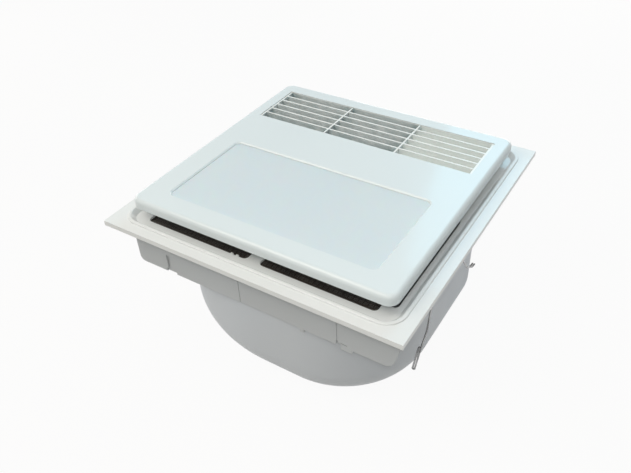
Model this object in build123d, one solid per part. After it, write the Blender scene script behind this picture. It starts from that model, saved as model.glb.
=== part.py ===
from build123d import *
from math import cos, hypot, pi, radians, sin
import os

os.makedirs("parts", exist_ok=True)

# A ceiling heater for a bathroom, lying with its face up, as it does on a bench.
# It is turned over to be hung: the face then looks down from the ceiling.
# X runs along the intake side, Y from the intake to the outlet grille, Z out of the face.
# The origin is on the bench, under the middle of the square face.

# Overall
panel_width = 430.0
body_depth = 213.0
half_panel = panel_width / 2
face_z = body_depth
overrun = 5.0
seat_gap = 0.3
screw_clearance = 0.1
pick_margin = 0.01
hexagon_sides = 6
running_clearance = 0.05

# Face frame
edge_height = 7.0
frame_skin = 2.5
bead_inset = 14.0
bead_half = half_panel - bead_inset
bead_width = 4.4
bead_height = 2.0
bead_radius = 26.0
bead_rounding = 1.4
recess_depth = 4.0
recess_slope = 5.6
recess_slope_share = recess_slope / (recess_depth + bead_height)
recess_half = bead_half - bead_width - recess_slope
recess_radius = bead_radius - bead_width - recess_slope

# Cover plate
cover_side_margin = 25.0
cover_front_margin = 29.0
cover_back_margin = 30.0
cover_width = panel_width - 2 * cover_side_margin
cover_front_y = cover_front_margin - half_panel
cover_back_y = half_panel - cover_back_margin
cover_lift = 14.0
cover_height = 14.0
cover_wall = 2.5
cover_corner = 14.0
cover_rounding = 6.0

# Light
window_side_margin = 39.0
window_front_margin = 32.0
window_depth = 148.0
window_width = cover_width - 2 * window_side_margin
window_front_y = cover_front_y + window_front_margin
window_back_y = window_front_y + window_depth
window_corner = 8.0
window_bevel = 1.8
diffuser_thickness = 2.0
diffuser_overlap = 4.0
lamp_depth = 14.5
lamp_sheet = 1.2
board_thickness = 1.6
lamp_ear_reach = 12.0
lamp_ear_width = 12.0
lamp_boss_radius = 4.0
led_size = 3.5
led_height = 0.9
led_margin = 18.0
led_columns = 10
led_rows = 5

# Outlet grille
grille_side_margin = 20.0
grille_back_margin = 24.0
grille_length = 87.0
grille_width = cover_width - 2 * grille_side_margin
grille_back_y = cover_back_y - grille_back_margin
grille_front_y = grille_back_y - grille_length
grille_depth = 9.0
grille_sink = 1.0
grille_gap = 0.3
grille_bar = 3.0
slat_thickness = 2.3
divider_thickness = 2.4
bays = 3
slats_per_bay = 5
blank_thickness = 2.0
blank_margin = 1.0

# Intake
slot_side_margin = 22.0
slot_front_margin = 4.0
slot_width = 49.0
slot_bridge = 18.0
slot_length = (cover_width - slot_bridge) / 2 - slot_side_margin
slot_front_y = cover_front_y + slot_front_margin
slot_centre_x = -1.0
slot_corner = 6.0
side_slot_margin = 5.5
side_slot_width = 13.0
side_slot_front_margin = 19.5
side_slot_x = cover_width / 2 - side_slot_margin
side_slot_front_y = cover_front_y + side_slot_front_margin
side_slot_back_y = 15.0
filter_thickness = 4.0
filter_overlap = 4.0
filter_rim = 5.0
mesh_thickness = 0.8
mesh_columns = 24
mesh_rows = 7
mesh_bar = 1.4
filter_tooth_width = 3.5
filter_tooth_depth = 2.5
filter_teeth_x = (-34.0, -26.0)

# Tray under the face
tray_side_margin = 27.0
tray_front_margin = 31.0
tray_back_margin = 37.0
tray_depth = 79.0
tray_wall = 2.0
tray_width = panel_width - 2 * tray_side_margin
tray_front_y = tray_front_margin - half_panel
tray_back_y = half_panel - tray_back_margin
tray_bottom_z = face_z - tray_depth
tray_floor_z = tray_bottom_z + tray_wall
tray_half = tray_width / 2
tray_corner = 6.0
boss_radius = 4.5
boss_inset = 9.0
front_boss_side_inset = 28.0
front_boss_inset = 71.0
front_boss_y = tray_front_y + front_boss_inset
back_boss_y = tray_back_y - boss_inset

# Front skirt
skirt_left_margin = 18.5
skirt_right_margin = 16.0
skirt_thickness = 2.5
skirt_left_x = skirt_left_margin - half_panel
skirt_right_x = half_panel - skirt_right_margin
skirt_front_y = tray_front_y - skirt_thickness
skirt_left_rounding = 8.0
skirt_right_rounding = 14.0
skirt_lean = 8.5
skirt_lean_height = 32.0
skirt_slit_x = -145.3
skirt_slit_width = 5.8
skirt_slit_height = 28.5
skirt_notch_x = -148.0
skirt_notch_width = 17.0
skirt_notch_height = 6.0
skirt_seams = ((-25.0, 0.9), (117.5, 2.4))
seam_depth = 0.8
skirt_foot_x = 117.0
skirt_foot_width = 6.3
skirt_foot_height = 6.4
skirt_tab_width = 16.2
skirt_tab_drop = 5.0
skirt_tab_slit_length = 8.7
skirt_tab_slit_rise = 4.1
skirt_tab_slit_height = 1.2
skirt_hook_x = 66.0
skirt_hook_size = 5.0

# Fan scroll
drum_wall = 2.5
drum_right_inset = 8.0
drum_left_inset = 3.0
drum_front_inset = 1.0
drum_back_inset = 40.0
drum_right_x = tray_half - drum_right_inset
drum_left_x = drum_left_inset - tray_half
drum_front_y = tray_front_y + drum_front_inset
drum_back_y = tray_back_y - drum_back_inset
drum_side_radius = 129.0
drum_flat_x = -6.0
drum_front_radius = 228.0
drum_corner_radius = 56.0
drum_bottom_radius = 50.0
fan_side_inset = 128.0
fan_front_inset = 127.0
fan_x = drum_right_x - fan_side_inset
fan_y = drum_front_y + fan_front_inset
scroll_start_radius = 107.0
scroll_mid_radius = 116.0
scroll_start_angle = 130.0
tongue_radius = 4.0
scroll_tab_radius = 5.0
scroll_tab_thickness = 3.0
scroll_tab_places = ((183.9, 10.0), (100.0, 142.0), (0.0, 142.0), (-163.0, -126.1))

# Outlet box at the end of the scroll
outlet_side_inset = 13.0
outlet_back_inset = 8.0
outlet_width = 123.0
outlet_length = 110.0
outlet_left_x = outlet_side_inset - tray_half
outlet_right_x = outlet_left_x + outlet_width
outlet_back_y = tray_back_y - outlet_back_inset
outlet_front_y = outlet_back_y - outlet_length
outlet_floor_z = 8.0
outlet_corner = 8.0

# Duct spigot
spigot_inset = 63.0
spigot_x = outlet_left_x + spigot_inset
spigot_z = 70.0
spigot_radius = 49.0
spigot_wall = 2.0
spigot_length = 37.0
spigot_flange = 3.0
spigot_flange_side = 10.0
spigot_flange_top = 8.0
spigot_flange_width = 2 * (spigot_radius + spigot_flange_side)
spigot_flange_height = 2 * (spigot_radius + spigot_flange_top)
spigot_screw_side_inset = 8.0
spigot_screw_top_inset = 6.0
flap_inset = 16.0
flap_y = outlet_back_y + flap_inset
flap_pivot_rise = 18.0
flap_radius = 44.5
flap_thickness = 1.0
flap_pin_radius = 1.25
flap_knuckle_radius = 2.8

# Damper
damper_inset = 12.0
damper_drop = 4.0
damper_floor_gap = 15.0
damper_y = outlet_back_y - damper_inset
damper_z = tray_bottom_z - damper_drop
damper_shaft_radius = 2.5
damper_length = damper_z - outlet_floor_z - damper_floor_gap
damper_thickness = 1.6
damper_side_gap = 3.0
damper_knuckle_radius = 3.6
damper_motor_radius = 14.0
damper_motor_length = 19.0
damper_ear_reach = 6.0
damper_ear_thickness = 1.5

# Inlet, impeller and motor
inlet_hole_radius = 78.0
inlet_throat_radius = 74.0
inlet_lip = 9.0
inlet_flange_radius = 92.0
inlet_sheet = 1.5
impeller_radius = 95.0
impeller_top_drop = 6.0
impeller_motor_gap = 7.0
impeller_top_z = tray_bottom_z - impeller_top_drop
impeller_disc = 2.0
impeller_ring_width = 9.0
blade_count = 36
blade_thickness = 1.4
blade_inner_radius = 79.0
blade_bow_share = 0.22
hub_radius = 12.0
hub_height = 14.0
shaft_radius = 4.0
nut_width = 13.0
nut_height = 6.0
shaft_bottom_z = 14.0
motor_radius = 46.0
motor_bottom_z = 11.0
motor_height = 50.0
impeller_bottom_z = motor_bottom_z + motor_height + impeller_motor_gap
motor_wall = 2.0
motor_cap = 3.0
motor_boss_radius = 14.0
stator_bore = 25.0
stator_height = 26.0
rotor_gap = 0.5
bearing_radius = 11.0
bearing_width = 7.0
bracket_radius = 68.0
bracket_sheet = 1.5
mount_circle = 60.0
mount_radius = 7.0
mount_height = 7.0
mount_count = 4
motor_screw_radius = 2.0
motor_screw_head = 4.0
motor_screw_head_height = 2.6

# Heater in the duct over the outlet box
duct_sheet = 1.2
duct_side_gap = 3.0
duct_back_gap = 5.0
duct_length = 230.0
duct_width = 95.0
duct_low_gap = 2.0
duct_bend_rise = 36.0
duct_left_x = outlet_left_x + duct_side_gap
duct_right_x = duct_left_x + duct_length
duct_back_y = outlet_back_y - duct_back_gap
duct_front_y = duct_back_y - duct_width
duct_low_right_x = outlet_right_x - duct_low_gap
duct_low_front_y = outlet_front_y + duct_low_gap
duct_bend_z = tray_floor_z + duct_bend_rise
collar_height = 19.0
heater_frame_sheet = 1.0
heater_rise = 6.0
heater_bottom_z = duct_bend_z + heater_rise
heater_height = 24.0
heater_bar_count = 3
heater_bar_width = 24.0
heater_core_thickness = 3.0
fin_count = 34
fin_thickness = 1.0
fin_margin = 2.0
terminal_width = 6.0
terminal_length = 12.0
terminal_thickness = 0.8
cutout_radius = 8.0
cutout_height = 6.0

# Wiring box in the tray
box_width = 72.0
box_front_y = -70.0
box_back_y = 44.0
box_height = 48.0
box_wall = 2.0
lid_thickness = 1.5
lid_screw_inset = 5.0
gland_y = 22.0
gland_rise = 24.0
gland_z = tray_floor_z + gland_rise
gland_radius = 9.0
gland_thread_radius = 7.5
gland_bore = 4.5
gland_reach = 14.0
gland_nut_length = 5.0
gland_cap_share = 0.75
terminal_block_size = (24.0, 44.0, 16.0)
terminal_ways = 5
way_radius = 2.2
way_depth = 6.0
board_size = (40.0, 52.0, 1.6)
board_foot = 4.0
relay_size = (12.0, 16.0, 14.0)
relay_count = 2
capacitor_radius = 13.0
capacitor_length = 40.0

# Ears that take the ceiling screws
ear_y = 150.0
ear_width = 30.0
ear_sheet = 1.5
ear_top_drop = 18.5
ear_top_z = face_z - ear_top_drop
ear_reach = 22.0
ear_drop = 24.0
ear_hole_inset = 15.0
ear_hole_x = half_panel - ear_hole_inset
ear_hole_radius = 3.0
ear_screw_radius = 2.0
ear_screw_length = 6.0

# Small screws
screw_radius = 2.0
screw_head_radius = 3.8
screw_head_height = 2.4
screw_cross_width = 1.0
screw_cross_depth = 1.2
frame_screw_length = 14.0
tab_screw_length = 9.0

# Wire clips on the sides
clip_inset = 10.0
clip_x = half_panel - clip_inset
clip_front_y = -114.0
clip_back_y = -36.0
clip_pivot_drop = 14.0
clip_pivot_z = face_z - clip_pivot_drop
clip_wire_radius = 1.1
clip_eye_radius = 3.2
clip_eye_length = 7.0
clip_pin_radius = 1.5
clip_pin_length = 12.0
clip_lug_thickness = 1.5
clip_lug_width = 8.0
clip_plate_length = 20.0
clip_curl_radius = 4.2
clip_pair_gap = 2.7
front_clip_run = ((10.8, 52.0), (24.7, 68.4), (39.6, 91.3))
back_clip_run = ((32.8, 45.8), (54.5, 61.6), (63.9, 63.4))

# Cover hinge and catch
hinge_x = 120.0
hinge_inset = 10.5
hinge_rise = 8.0
hinge_y = cover_back_y - hinge_inset
hinge_z = face_z + hinge_rise
hinge_pin_radius = 1.5
hinge_knuckle_radius = 4.0
hinge_arm_width = 9.4
hinge_arm_thickness = 5.0
hinge_ear_thickness = 3.0
hinge_ear_width = 8.0
hinge_pin_length = 16.4
catch_x = -1.0
catch_inset = 22.5
catch_y = cover_front_y + catch_inset
catch_width = 12.0
catch_depth = 6.0
magnet_height = 4.0
magnet_rise = 10.0
magnet_top_z = face_z + magnet_rise
catch_plate_thickness = 1.5

# Heights worked out from the sizes above
edge_z = face_z - edge_height
floor_z = face_z - recess_depth
floor_under_z = floor_z - frame_skin
skin_under_z = face_z - frame_skin
cover_z = face_z + cover_lift
top_z = cover_z + cover_height
cover_under_z = top_z - cover_wall


def block(low_x, high_x, low_y, high_y, low_z, high_z):
    size = Box(high_x - low_x, high_y - low_y, high_z - low_z)
    return Pos((low_x + high_x) / 2, (low_y + high_y) / 2, (low_z + high_z) / 2) * size


def slab(low_x, high_x, low_y, high_y, low_z, high_z, radius):
    plan = Pos((low_x + high_x) / 2, (low_y + high_y) / 2, low_z)
    return extrude(plan * RectangleRounded(high_x - low_x, high_y - low_y, radius), high_z - low_z)


def rod(start, direction, radius, length):
    seat = Plane(origin=start, z_dir=direction)
    return seat * Cylinder(radius, length, align=(Align.CENTER, Align.CENTER, Align.MIN))


def tube(start, direction, outer, inner, length):
    return rod(start, direction, outer, length) - rod(start, direction, inner, length)


def screw(seat, direction, length, radius=screw_radius, head=screw_head_radius, height=screw_head_height):
    into = Vector(*direction)
    top = Vector(*seat) - into * height
    body = rod(seat, direction, radius, length) + rod(tuple(top), direction, head, height)
    cross = Box(head, screw_cross_width, 2 * screw_cross_depth)
    cross += Box(screw_cross_width, head, 2 * screw_cross_depth)
    return body - Plane(origin=tuple(top), z_dir=direction) * cross


def screw_hole(seat, direction, length, radius=screw_radius):
    return rod(seat, direction, radius + screw_clearance, length)


def save(name, shape):
    solids = shape.solids() if hasattr(shape, "solids") else [s for item in shape for s in item.solids()]
    export_step(solids[0] if len(solids) == 1 else Compound(solids), f"parts/{name}.step")
    return shape


slot_left_x = slot_centre_x - slot_bridge / 2 - slot_length
slot_right_x = slot_centre_x + slot_bridge / 2
slot_back_y = slot_front_y + slot_width
side_slot_inner_x = side_slot_x - side_slot_width
front_boss_x = tray_half - front_boss_side_inset
back_boss_x = tray_half - boss_inset
boss_places = ((front_boss_x, front_boss_y), (back_boss_x, back_boss_y))
frame_bosses = [(side * x, y) for side in (-1, 1) for x, y in boss_places]


def slot_cutters():
    low_z = floor_under_z - overrun
    cutters = []
    for start_x in (slot_left_x, slot_right_x):
        end_x = start_x + slot_length
        cutters.append(slab(start_x, end_x, slot_front_y, slot_back_y, low_z, face_z, slot_corner))
    for side in (-1, 1):
        low_x, high_x = sorted((side * side_slot_inner_x, side * side_slot_x))
        cutters.append(slab(low_x, high_x, side_slot_front_y, side_slot_back_y, low_z, face_z, slot_corner))
    return cutters


def dish(low_z, high_z, grow):
    # A rounded square that opens upwards: its lowest square is the floor of the recess.
    squares = []
    for z in (low_z, high_z):
        spread = grow + recess_slope_share * (z - floor_z)
        width = 2 * (recess_half + spread)
        squares.append(Pos(0, 0, z) * RectangleRounded(width, width, recess_radius + spread))
    return loft(squares, ruled=True)


def make_face_frame():
    outer = block(-half_panel, half_panel, -half_panel, half_panel, edge_z, face_z)
    bead = bead_half
    recess = dish(floor_z, top_z, 0)
    ring = slab(-bead, bead, -bead, bead, face_z - frame_skin, face_z + bead_height, bead_radius) - recess
    ring = fillet(ring.edges().group_by(Axis.Z)[-1], bead_rounding)
    wall = half_panel - frame_skin
    hollow = block(-wall, wall, -wall, wall, edge_z - overrun, skin_under_z)
    pan = dish(floor_under_z, skin_under_z, frame_skin * hypot(1, recess_slope_share))
    frame = outer - (hollow - pan) - recess + ring
    for cutter in slot_cutters():
        frame -= cutter
    for x in filter_teeth_x:
        frame += block(x, x + filter_tooth_width, slot_front_y - filter_tooth_depth,
                       slot_front_y + filter_tooth_depth, floor_under_z, floor_z)
    gap = seat_gap
    frame -= block(duct_left_x - gap, duct_right_x + gap, duct_front_y - gap, duct_back_y + gap,
                   floor_under_z - overrun, face_z)
    for x, y in frame_bosses:
        frame -= screw_hole((x, y, face_z), (0, 0, -1), face_z)
    for side in (-1, 1):
        frame += make_hinge_ears(side)
    frame += block(catch_x - catch_width / 2, catch_x + catch_width / 2, catch_y - catch_depth / 2,
                   catch_y + catch_depth / 2, floor_z, magnet_top_z - magnet_height)
    return frame


def make_hinge_ears(side):
    ears = None
    span = hinge_arm_width / 2 + seat_gap
    for edge in (-1, 1):
        start = side * hinge_x + edge * span
        low_x, high_x = sorted((start, start + edge * hinge_ear_thickness))
        half = hinge_ear_width / 2
        ear = block(low_x, high_x, hinge_y - half, hinge_y + half, floor_z, hinge_z)
        ear += rod((low_x, hinge_y, hinge_z), (1, 0, 0), half, hinge_ear_thickness)
        ear -= rod((low_x - overrun, hinge_y, hinge_z), (1, 0, 0), hinge_pin_radius, 3 * overrun)
        ears = ear if ears is None else ears + ear
    return ears


def make_hinge_pins():
    pins = []
    for side in (-1, 1):
        start = (side * hinge_x - hinge_pin_length / 2, hinge_y, hinge_z)
        pins.append(rod(start, (1, 0, 0), hinge_pin_radius, hinge_pin_length))
    return pins


def make_catch_magnet():
    half_x = catch_width / 2
    half_y = catch_depth / 2
    low_z = magnet_top_z - magnet_height
    return block(catch_x - half_x, catch_x + half_x, catch_y - half_y, catch_y + half_y, low_z, magnet_top_z)


def make_frame_screws():
    seats = [(x, y, floor_z) for x, y in frame_bosses]
    return [screw(seat, (0, 0, -1), frame_screw_length) for seat in seats]


def make_filter(start_x):
    low_x = start_x - filter_overlap
    high_x = start_x + slot_length + filter_overlap
    front_y = tray_front_y + tray_wall + seat_gap
    back_y = slot_back_y + filter_overlap
    low_z = floor_under_z - filter_thickness
    rim = filter_rim
    frame = block(low_x, high_x, front_y, back_y, low_z, floor_under_z)
    frame -= block(low_x + rim, high_x - rim, front_y + rim, back_y - rim, low_z - overrun, top_z)
    wide = high_x - low_x - 2 * rim
    deep = back_y - front_y - 2 * rim
    net_z = floor_under_z - mesh_thickness
    net = block(low_x + rim, high_x - rim, front_y + rim, back_y - rim, net_z, floor_under_z)
    cell_x = wide / mesh_columns
    cell_y = deep / mesh_rows
    centre = ((low_x + high_x) / 2, (front_y + back_y) / 2, net_z)
    holes = GridLocations(cell_x, cell_y, mesh_columns, mesh_rows)
    window = Rectangle(cell_x - mesh_bar, cell_y - mesh_bar)
    windows = Sketch() + [place * window for place in holes]
    net -= extrude(Pos(*centre) * windows, mesh_thickness)
    return frame + net


def make_front_skirt():
    low_z = tray_bottom_z
    back_y = skirt_front_y + skirt_thickness
    points = [(skirt_left_x, low_z), (skirt_left_x, floor_under_z), (skirt_right_x, floor_under_z),
              (skirt_right_x, low_z + skirt_lean_height), (skirt_right_x - skirt_lean, low_z)]
    plan = make_face(Polyline(*points, close=True))
    for end, radius in ((-1, skirt_right_rounding), (0, skirt_left_rounding)):
        corners = plan.vertices().group_by(Axis.Y)[0].sort_by(Axis.X)
        plan = fillet(corners[end], radius)
    upright = Plane(origin=(0, back_y, 0), x_dir=(1, 0, 0), z_dir=(0, -1, 0))
    plate = extrude(upright * plan, skirt_thickness)
    front = skirt_front_y - overrun
    behind = back_y + overrun
    tab_x = skirt_foot_x + skirt_foot_width
    tab_slit_z = low_z + skirt_tab_slit_rise
    openings = [
        (skirt_slit_x, skirt_slit_width, low_z - overrun, low_z + skirt_slit_height),
        (skirt_notch_x, skirt_notch_width, low_z - overrun, low_z + skirt_notch_height),
        (skirt_foot_x, skirt_foot_width, low_z - overrun, low_z + skirt_foot_height),
        (tab_x, skirt_tab_slit_length, tab_slit_z, tab_slit_z + skirt_tab_slit_height),
    ]
    for x, width, bottom, top in openings:
        plate -= block(x, x + width, front, behind, bottom, top)
    for x, width in skirt_seams:
        plate -= block(x, x + width, front, skirt_front_y + seam_depth, low_z - overrun, top_z)
    lugs = ((skirt_hook_x, skirt_hook_size, skirt_hook_size), (tab_x, skirt_tab_width, skirt_tab_drop))
    for x, width, drop in lugs:
        plate += block(x, x + width, skirt_front_y, back_y, low_z - drop, low_z)
    return plate


def make_base_tray():
    half = tray_half
    inner = half - tray_wall
    tray = slab(-half, half, tray_front_y, tray_back_y, tray_bottom_z, floor_under_z, tray_corner)
    tray -= slab(-inner, inner, tray_front_y + tray_wall, tray_back_y - tray_wall, tray_floor_z,
                 top_z, tray_corner - tray_wall)
    for x, y in frame_bosses:
        tray += rod((x, y, tray_floor_z), (0, 0, 1), boss_radius, floor_under_z - tray_floor_z)
        tray -= screw_hole((x, y, top_z), (0, 0, -1), top_z - floor_z + frame_screw_length + seat_gap)
    tray -= rod((fan_x, fan_y, tray_bottom_z - overrun), (0, 0, 1), inlet_hole_radius, 2 * overrun)
    sheet = duct_sheet
    tray -= block(duct_left_x + sheet, duct_low_right_x - sheet, duct_low_front_y + sheet,
                  duct_back_y - sheet, tray_bottom_z - overrun, tray_bottom_z + overrun)
    for x, y in scroll_tab_places:
        tray -= screw_hole((x, y, tray_bottom_z - overrun), (0, 0, 1), 2 * overrun)
    tray -= rod((-half - overrun, gland_y, gland_z), (1, 0, 0), gland_thread_radius, 3 * overrun)
    for side in (-1, 1):
        for y, z in ear_screw_seats():
            tray -= screw_hole((side * (half + overrun), y, z), (-side, 0, 0), 3 * overrun, ear_screw_radius)
    return tray


def ear_screw_seats():
    z = ear_top_z - ear_drop / 2
    shift = ear_width / 4
    return [(centre + move, z) for centre in (-ear_y, ear_y) for move in (-shift, shift)]


def make_mounting_ears():
    ears = []
    for side in (-1, 1):
        for centre in (-ear_y, ear_y):
            low_y = centre - ear_width / 2
            high_y = centre + ear_width / 2
            low_x, high_x = sorted((side * tray_half, side * (tray_half + ear_sheet)))
            ear = block(low_x, high_x, low_y, high_y, ear_top_z - ear_drop, ear_top_z)
            low_x, high_x = sorted((side * tray_half, side * (tray_half + ear_reach)))
            ear += block(low_x, high_x, low_y, high_y, ear_top_z - ear_sheet, ear_top_z)
            ear -= rod((side * ear_hole_x, centre, ear_top_z - overrun), (0, 0, 1), ear_hole_radius,
                       2 * overrun)
            for y, z in ear_screw_seats():
                ear -= screw_hole((side * (tray_half + overrun), y, z), (-side, 0, 0), 2 * overrun,
                                  ear_screw_radius)
            ears.append(ear)
    return ears


def make_ear_screws():
    seats = [(side, y, z) for side in (-1, 1) for y, z in ear_screw_seats()]
    reach = tray_half + ear_sheet
    return [screw((side * reach, y, z), (-side, 0, 0), ear_screw_length) for side, y, z in seats]


def drum_body(inset):
    right = drum_right_x - inset
    left = drum_left_x + inset
    front = drum_front_y + inset
    back = drum_back_y - inset
    side_radius = drum_side_radius - inset
    front_radius = drum_front_radius - inset
    corner = drum_corner_radius - inset
    side_centre_y = front + side_radius
    front_centre_y = front + front_radius
    reach = left - drum_flat_x
    left_y = front_centre_y - (front_radius ** 2 - reach ** 2) ** (1 / 2)
    wall = Line((right, back), (right, side_centre_y))
    turn = RadiusArc((right, side_centre_y), (right - side_radius, front), side_radius)
    flat = Line((right - side_radius, front), (drum_flat_x, front))
    sweep_in = RadiusArc((drum_flat_x, front), (left, left_y), front_radius)
    side = Line((left, left_y), (left, back))
    rear = Line((left, back), (right, back))
    plan = make_face(Wire([wall, turn, flat, sweep_in, side, rear]))
    corners = [v for v in plan.vertices() if v.X < left + pick_margin or v.Y > back - pick_margin]
    plan = fillet(corners, corner)
    low_z = inset
    body = extrude(Pos(0, 0, low_z) * plan, tray_bottom_z - low_z)
    bottom = body.faces().sort_by(Axis.Z)[0]
    return fillet(bottom.edges(), drum_bottom_radius - inset)


def fan_point(radius, angle):
    return (fan_x + radius * cos(radians(angle)), fan_y + radius * sin(radians(angle)))


def outlet_box(inset):
    box = slab(outlet_left_x + inset, outlet_right_x - inset, outlet_front_y + inset,
               outlet_back_y - inset, outlet_floor_z + inset, tray_bottom_z, outlet_corner - inset)
    return box


def make_scroll_housing():
    wall = drum_wall
    shell = drum_body(0) + outlet_box(0)
    tab_low = tray_bottom_z - scroll_tab_thickness
    for x, y in scroll_tab_places:
        shell += rod((x, y, tab_low), (0, 0, 1), scroll_tab_radius, scroll_tab_thickness)
    shell -= drum_body(wall) + outlet_box(wall)
    tongue = fan_point(scroll_start_radius, scroll_start_angle)
    middle = fan_point(scroll_mid_radius, scroll_start_angle / 2)
    right = (drum_right_x - wall / 2, fan_y)
    rear = (outlet_right_x - wall / 2, drum_back_y - wall / 2)
    lines = [Line(rear, tongue), ThreePointArc(tongue, middle, right)]
    ribs = Sketch() + [trace(line, wall) for line in lines]
    inner_walls = extrude(Pos(0, 0, wall / 2) * ribs, tray_bottom_z - wall / 2)
    inner_walls += rod((tongue[0], tongue[1], wall / 2), (0, 0, 1), tongue_radius, tray_bottom_z - wall / 2)
    shell += inner_walls & drum_body(wall / 2)
    throat = spigot_radius - spigot_wall
    shell -= rod((spigot_x, outlet_back_y - overrun, spigot_z), (0, 1, 0), throat, 2 * overrun)
    for x, z in spigot_screw_seats():
        shell -= screw_hole((x, outlet_back_y + overrun, z), (0, -1, 0), 3 * overrun)
    for x, y in scroll_tab_places:
        depth = scroll_tab_thickness + 2 * overrun
        shell -= screw_hole((x, y, tray_bottom_z + overrun), (0, 0, -1), depth)
    shaft_start = outlet_left_x - overrun
    shaft_way = outlet_right_x - outlet_left_x + 2 * overrun
    shaft_bore = damper_shaft_radius + running_clearance
    shell -= rod((shaft_start, damper_y, damper_z), (1, 0, 0), shaft_bore, shaft_way)
    x, y, z = damper_screw_seat()
    shell -= screw_hole((x + overrun, y, z), (-1, 0, 0), 3 * overrun)
    return shell


def make_scroll_screws():
    low_z = tray_bottom_z - scroll_tab_thickness
    return [screw((x, y, low_z), (0, 0, 1), tab_screw_length) for x, y in scroll_tab_places]


def spigot_screw_seats():
    half_x = spigot_flange_width / 2 - spigot_screw_side_inset
    half_z = spigot_flange_height / 2 - spigot_screw_top_inset
    return [(spigot_x + a * half_x, spigot_z + b * half_z) for a in (-1, 1) for b in (-1, 1)]


def make_duct_spigot():
    half_x = spigot_flange_width / 2
    half_z = spigot_flange_height / 2
    flange = block(spigot_x - half_x, spigot_x + half_x, outlet_back_y, outlet_back_y + spigot_flange,
                   spigot_z - half_z, spigot_z + half_z)
    way = spigot_flange + spigot_length
    spigot = flange + rod((spigot_x, outlet_back_y, spigot_z), (0, 1, 0), spigot_radius, way)
    inner = spigot_radius - spigot_wall
    spigot -= rod((spigot_x, outlet_back_y - overrun, spigot_z), (0, 1, 0), inner, way + 2 * overrun)
    pin_start = spigot_x - spigot_radius - overrun
    pin_z = spigot_z + flap_pivot_rise
    spigot -= rod((pin_start, flap_y, pin_z), (1, 0, 0), flap_pin_radius, 2 * (spigot_radius + overrun))
    for x, z in spigot_screw_seats():
        spigot -= screw_hole((x, outlet_back_y - overrun, z), (0, 1, 0), 3 * overrun)
    return spigot


def make_spigot_screws():
    seat_y = outlet_back_y + spigot_flange
    return [screw((x, seat_y, z), (0, -1, 0), spigot_flange + 2 * drum_wall) for x, z in spigot_screw_seats()]


def make_flap_pin():
    half = (spigot_radius ** 2 - flap_pivot_rise ** 2) ** (1 / 2) - flap_thickness
    start = (spigot_x - half, flap_y, spigot_z + flap_pivot_rise)
    return rod(start, (1, 0, 0), flap_pin_radius, 2 * half)


def make_backdraft_flap():
    disc = rod((spigot_x, flap_y - flap_thickness / 2, spigot_z), (0, 1, 0), flap_radius, flap_thickness)
    half = (flap_radius ** 2 - flap_pivot_rise ** 2) ** (1 / 2) - flap_knuckle_radius
    start = (spigot_x - half, flap_y, spigot_z + flap_pivot_rise)
    disc += rod(start, (1, 0, 0), flap_knuckle_radius, 2 * half)
    through = (spigot_x - spigot_radius, flap_y, spigot_z + flap_pivot_rise)
    return disc - rod(through, (1, 0, 0), flap_pin_radius + running_clearance, 2 * spigot_radius)


def make_damper_blade():
    gap = damper_side_gap + drum_wall
    low_x = outlet_left_x + gap
    high_x = outlet_right_x - gap
    half = damper_thickness / 2
    blade = block(low_x, high_x, damper_y - half, damper_y + half, damper_z - damper_length, damper_z)
    blade += rod((low_x, damper_y, damper_z), (1, 0, 0), damper_knuckle_radius, high_x - low_x)
    bore_length = high_x - low_x + 2 * overrun
    return blade - rod((low_x - overrun, damper_y, damper_z), (1, 0, 0), damper_shaft_radius, bore_length)


def make_damper_shaft():
    start = (outlet_left_x - drum_wall, damper_y, damper_z)
    way = outlet_right_x - outlet_left_x + drum_wall + damper_motor_length / 2
    return rod(start, (1, 0, 0), damper_shaft_radius, way)


def damper_screw_seat():
    return (outlet_right_x, damper_y - damper_motor_radius - damper_ear_reach / 2, damper_z)


def make_damper_motor():
    start = (outlet_right_x, damper_y, damper_z)
    body = rod(start, (1, 0, 0), damper_motor_radius, damper_motor_length)
    front_y = damper_y - damper_motor_radius - damper_ear_reach
    top_z = tray_bottom_z - seat_gap
    body &= block(outlet_right_x, outlet_right_x + damper_motor_length, front_y, outlet_back_y + overrun,
                  damper_z - damper_motor_radius, top_z)
    body += block(outlet_right_x, outlet_right_x + damper_ear_thickness, front_y, damper_y,
                  damper_z - damper_ear_reach / 2, damper_z + damper_ear_reach / 2)
    body -= rod(start, (1, 0, 0), damper_shaft_radius + running_clearance, damper_motor_length / 2 + seat_gap)
    x, y, z = damper_screw_seat()
    return body - screw_hole((x + overrun, y, z), (-1, 0, 0), 2 * overrun)


def make_damper_screw():
    x, y, z = damper_screw_seat()
    return screw((x + damper_ear_thickness, y, z), (-1, 0, 0), damper_ear_thickness + 2 * drum_wall,
                 head=damper_ear_reach / 2)


def make_inlet_ring():
    ring = rod((fan_x, fan_y, tray_floor_z), (0, 0, 1), inlet_flange_radius, inlet_sheet)
    ring += rod((fan_x, fan_y, tray_bottom_z - inlet_lip), (0, 0, 1), inlet_throat_radius + inlet_sheet,
                tray_floor_z + inlet_sheet - tray_bottom_z + inlet_lip)
    ring -= rod((fan_x, fan_y, tray_bottom_z - inlet_lip - overrun), (0, 0, 1), inlet_throat_radius,
                inlet_lip + 2 * overrun + tray_wall)
    mouth = ring.edges().filter_by(GeomType.CIRCLE).group_by(Axis.Z)[-1]
    inner = mouth.sort_by(SortBy.RADIUS)[0]
    return chamfer(inner, inlet_sheet / 2)


def blade_plan():
    root = blade_inner_radius
    tip = impeller_radius - blade_thickness / 2
    bow = (tip - root) * blade_bow_share
    start = (root, 0)
    end = (tip, -bow)
    middle = ((root + tip) / 2, bow)
    return trace(ThreePointArc(start, middle, end), blade_thickness)


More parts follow.
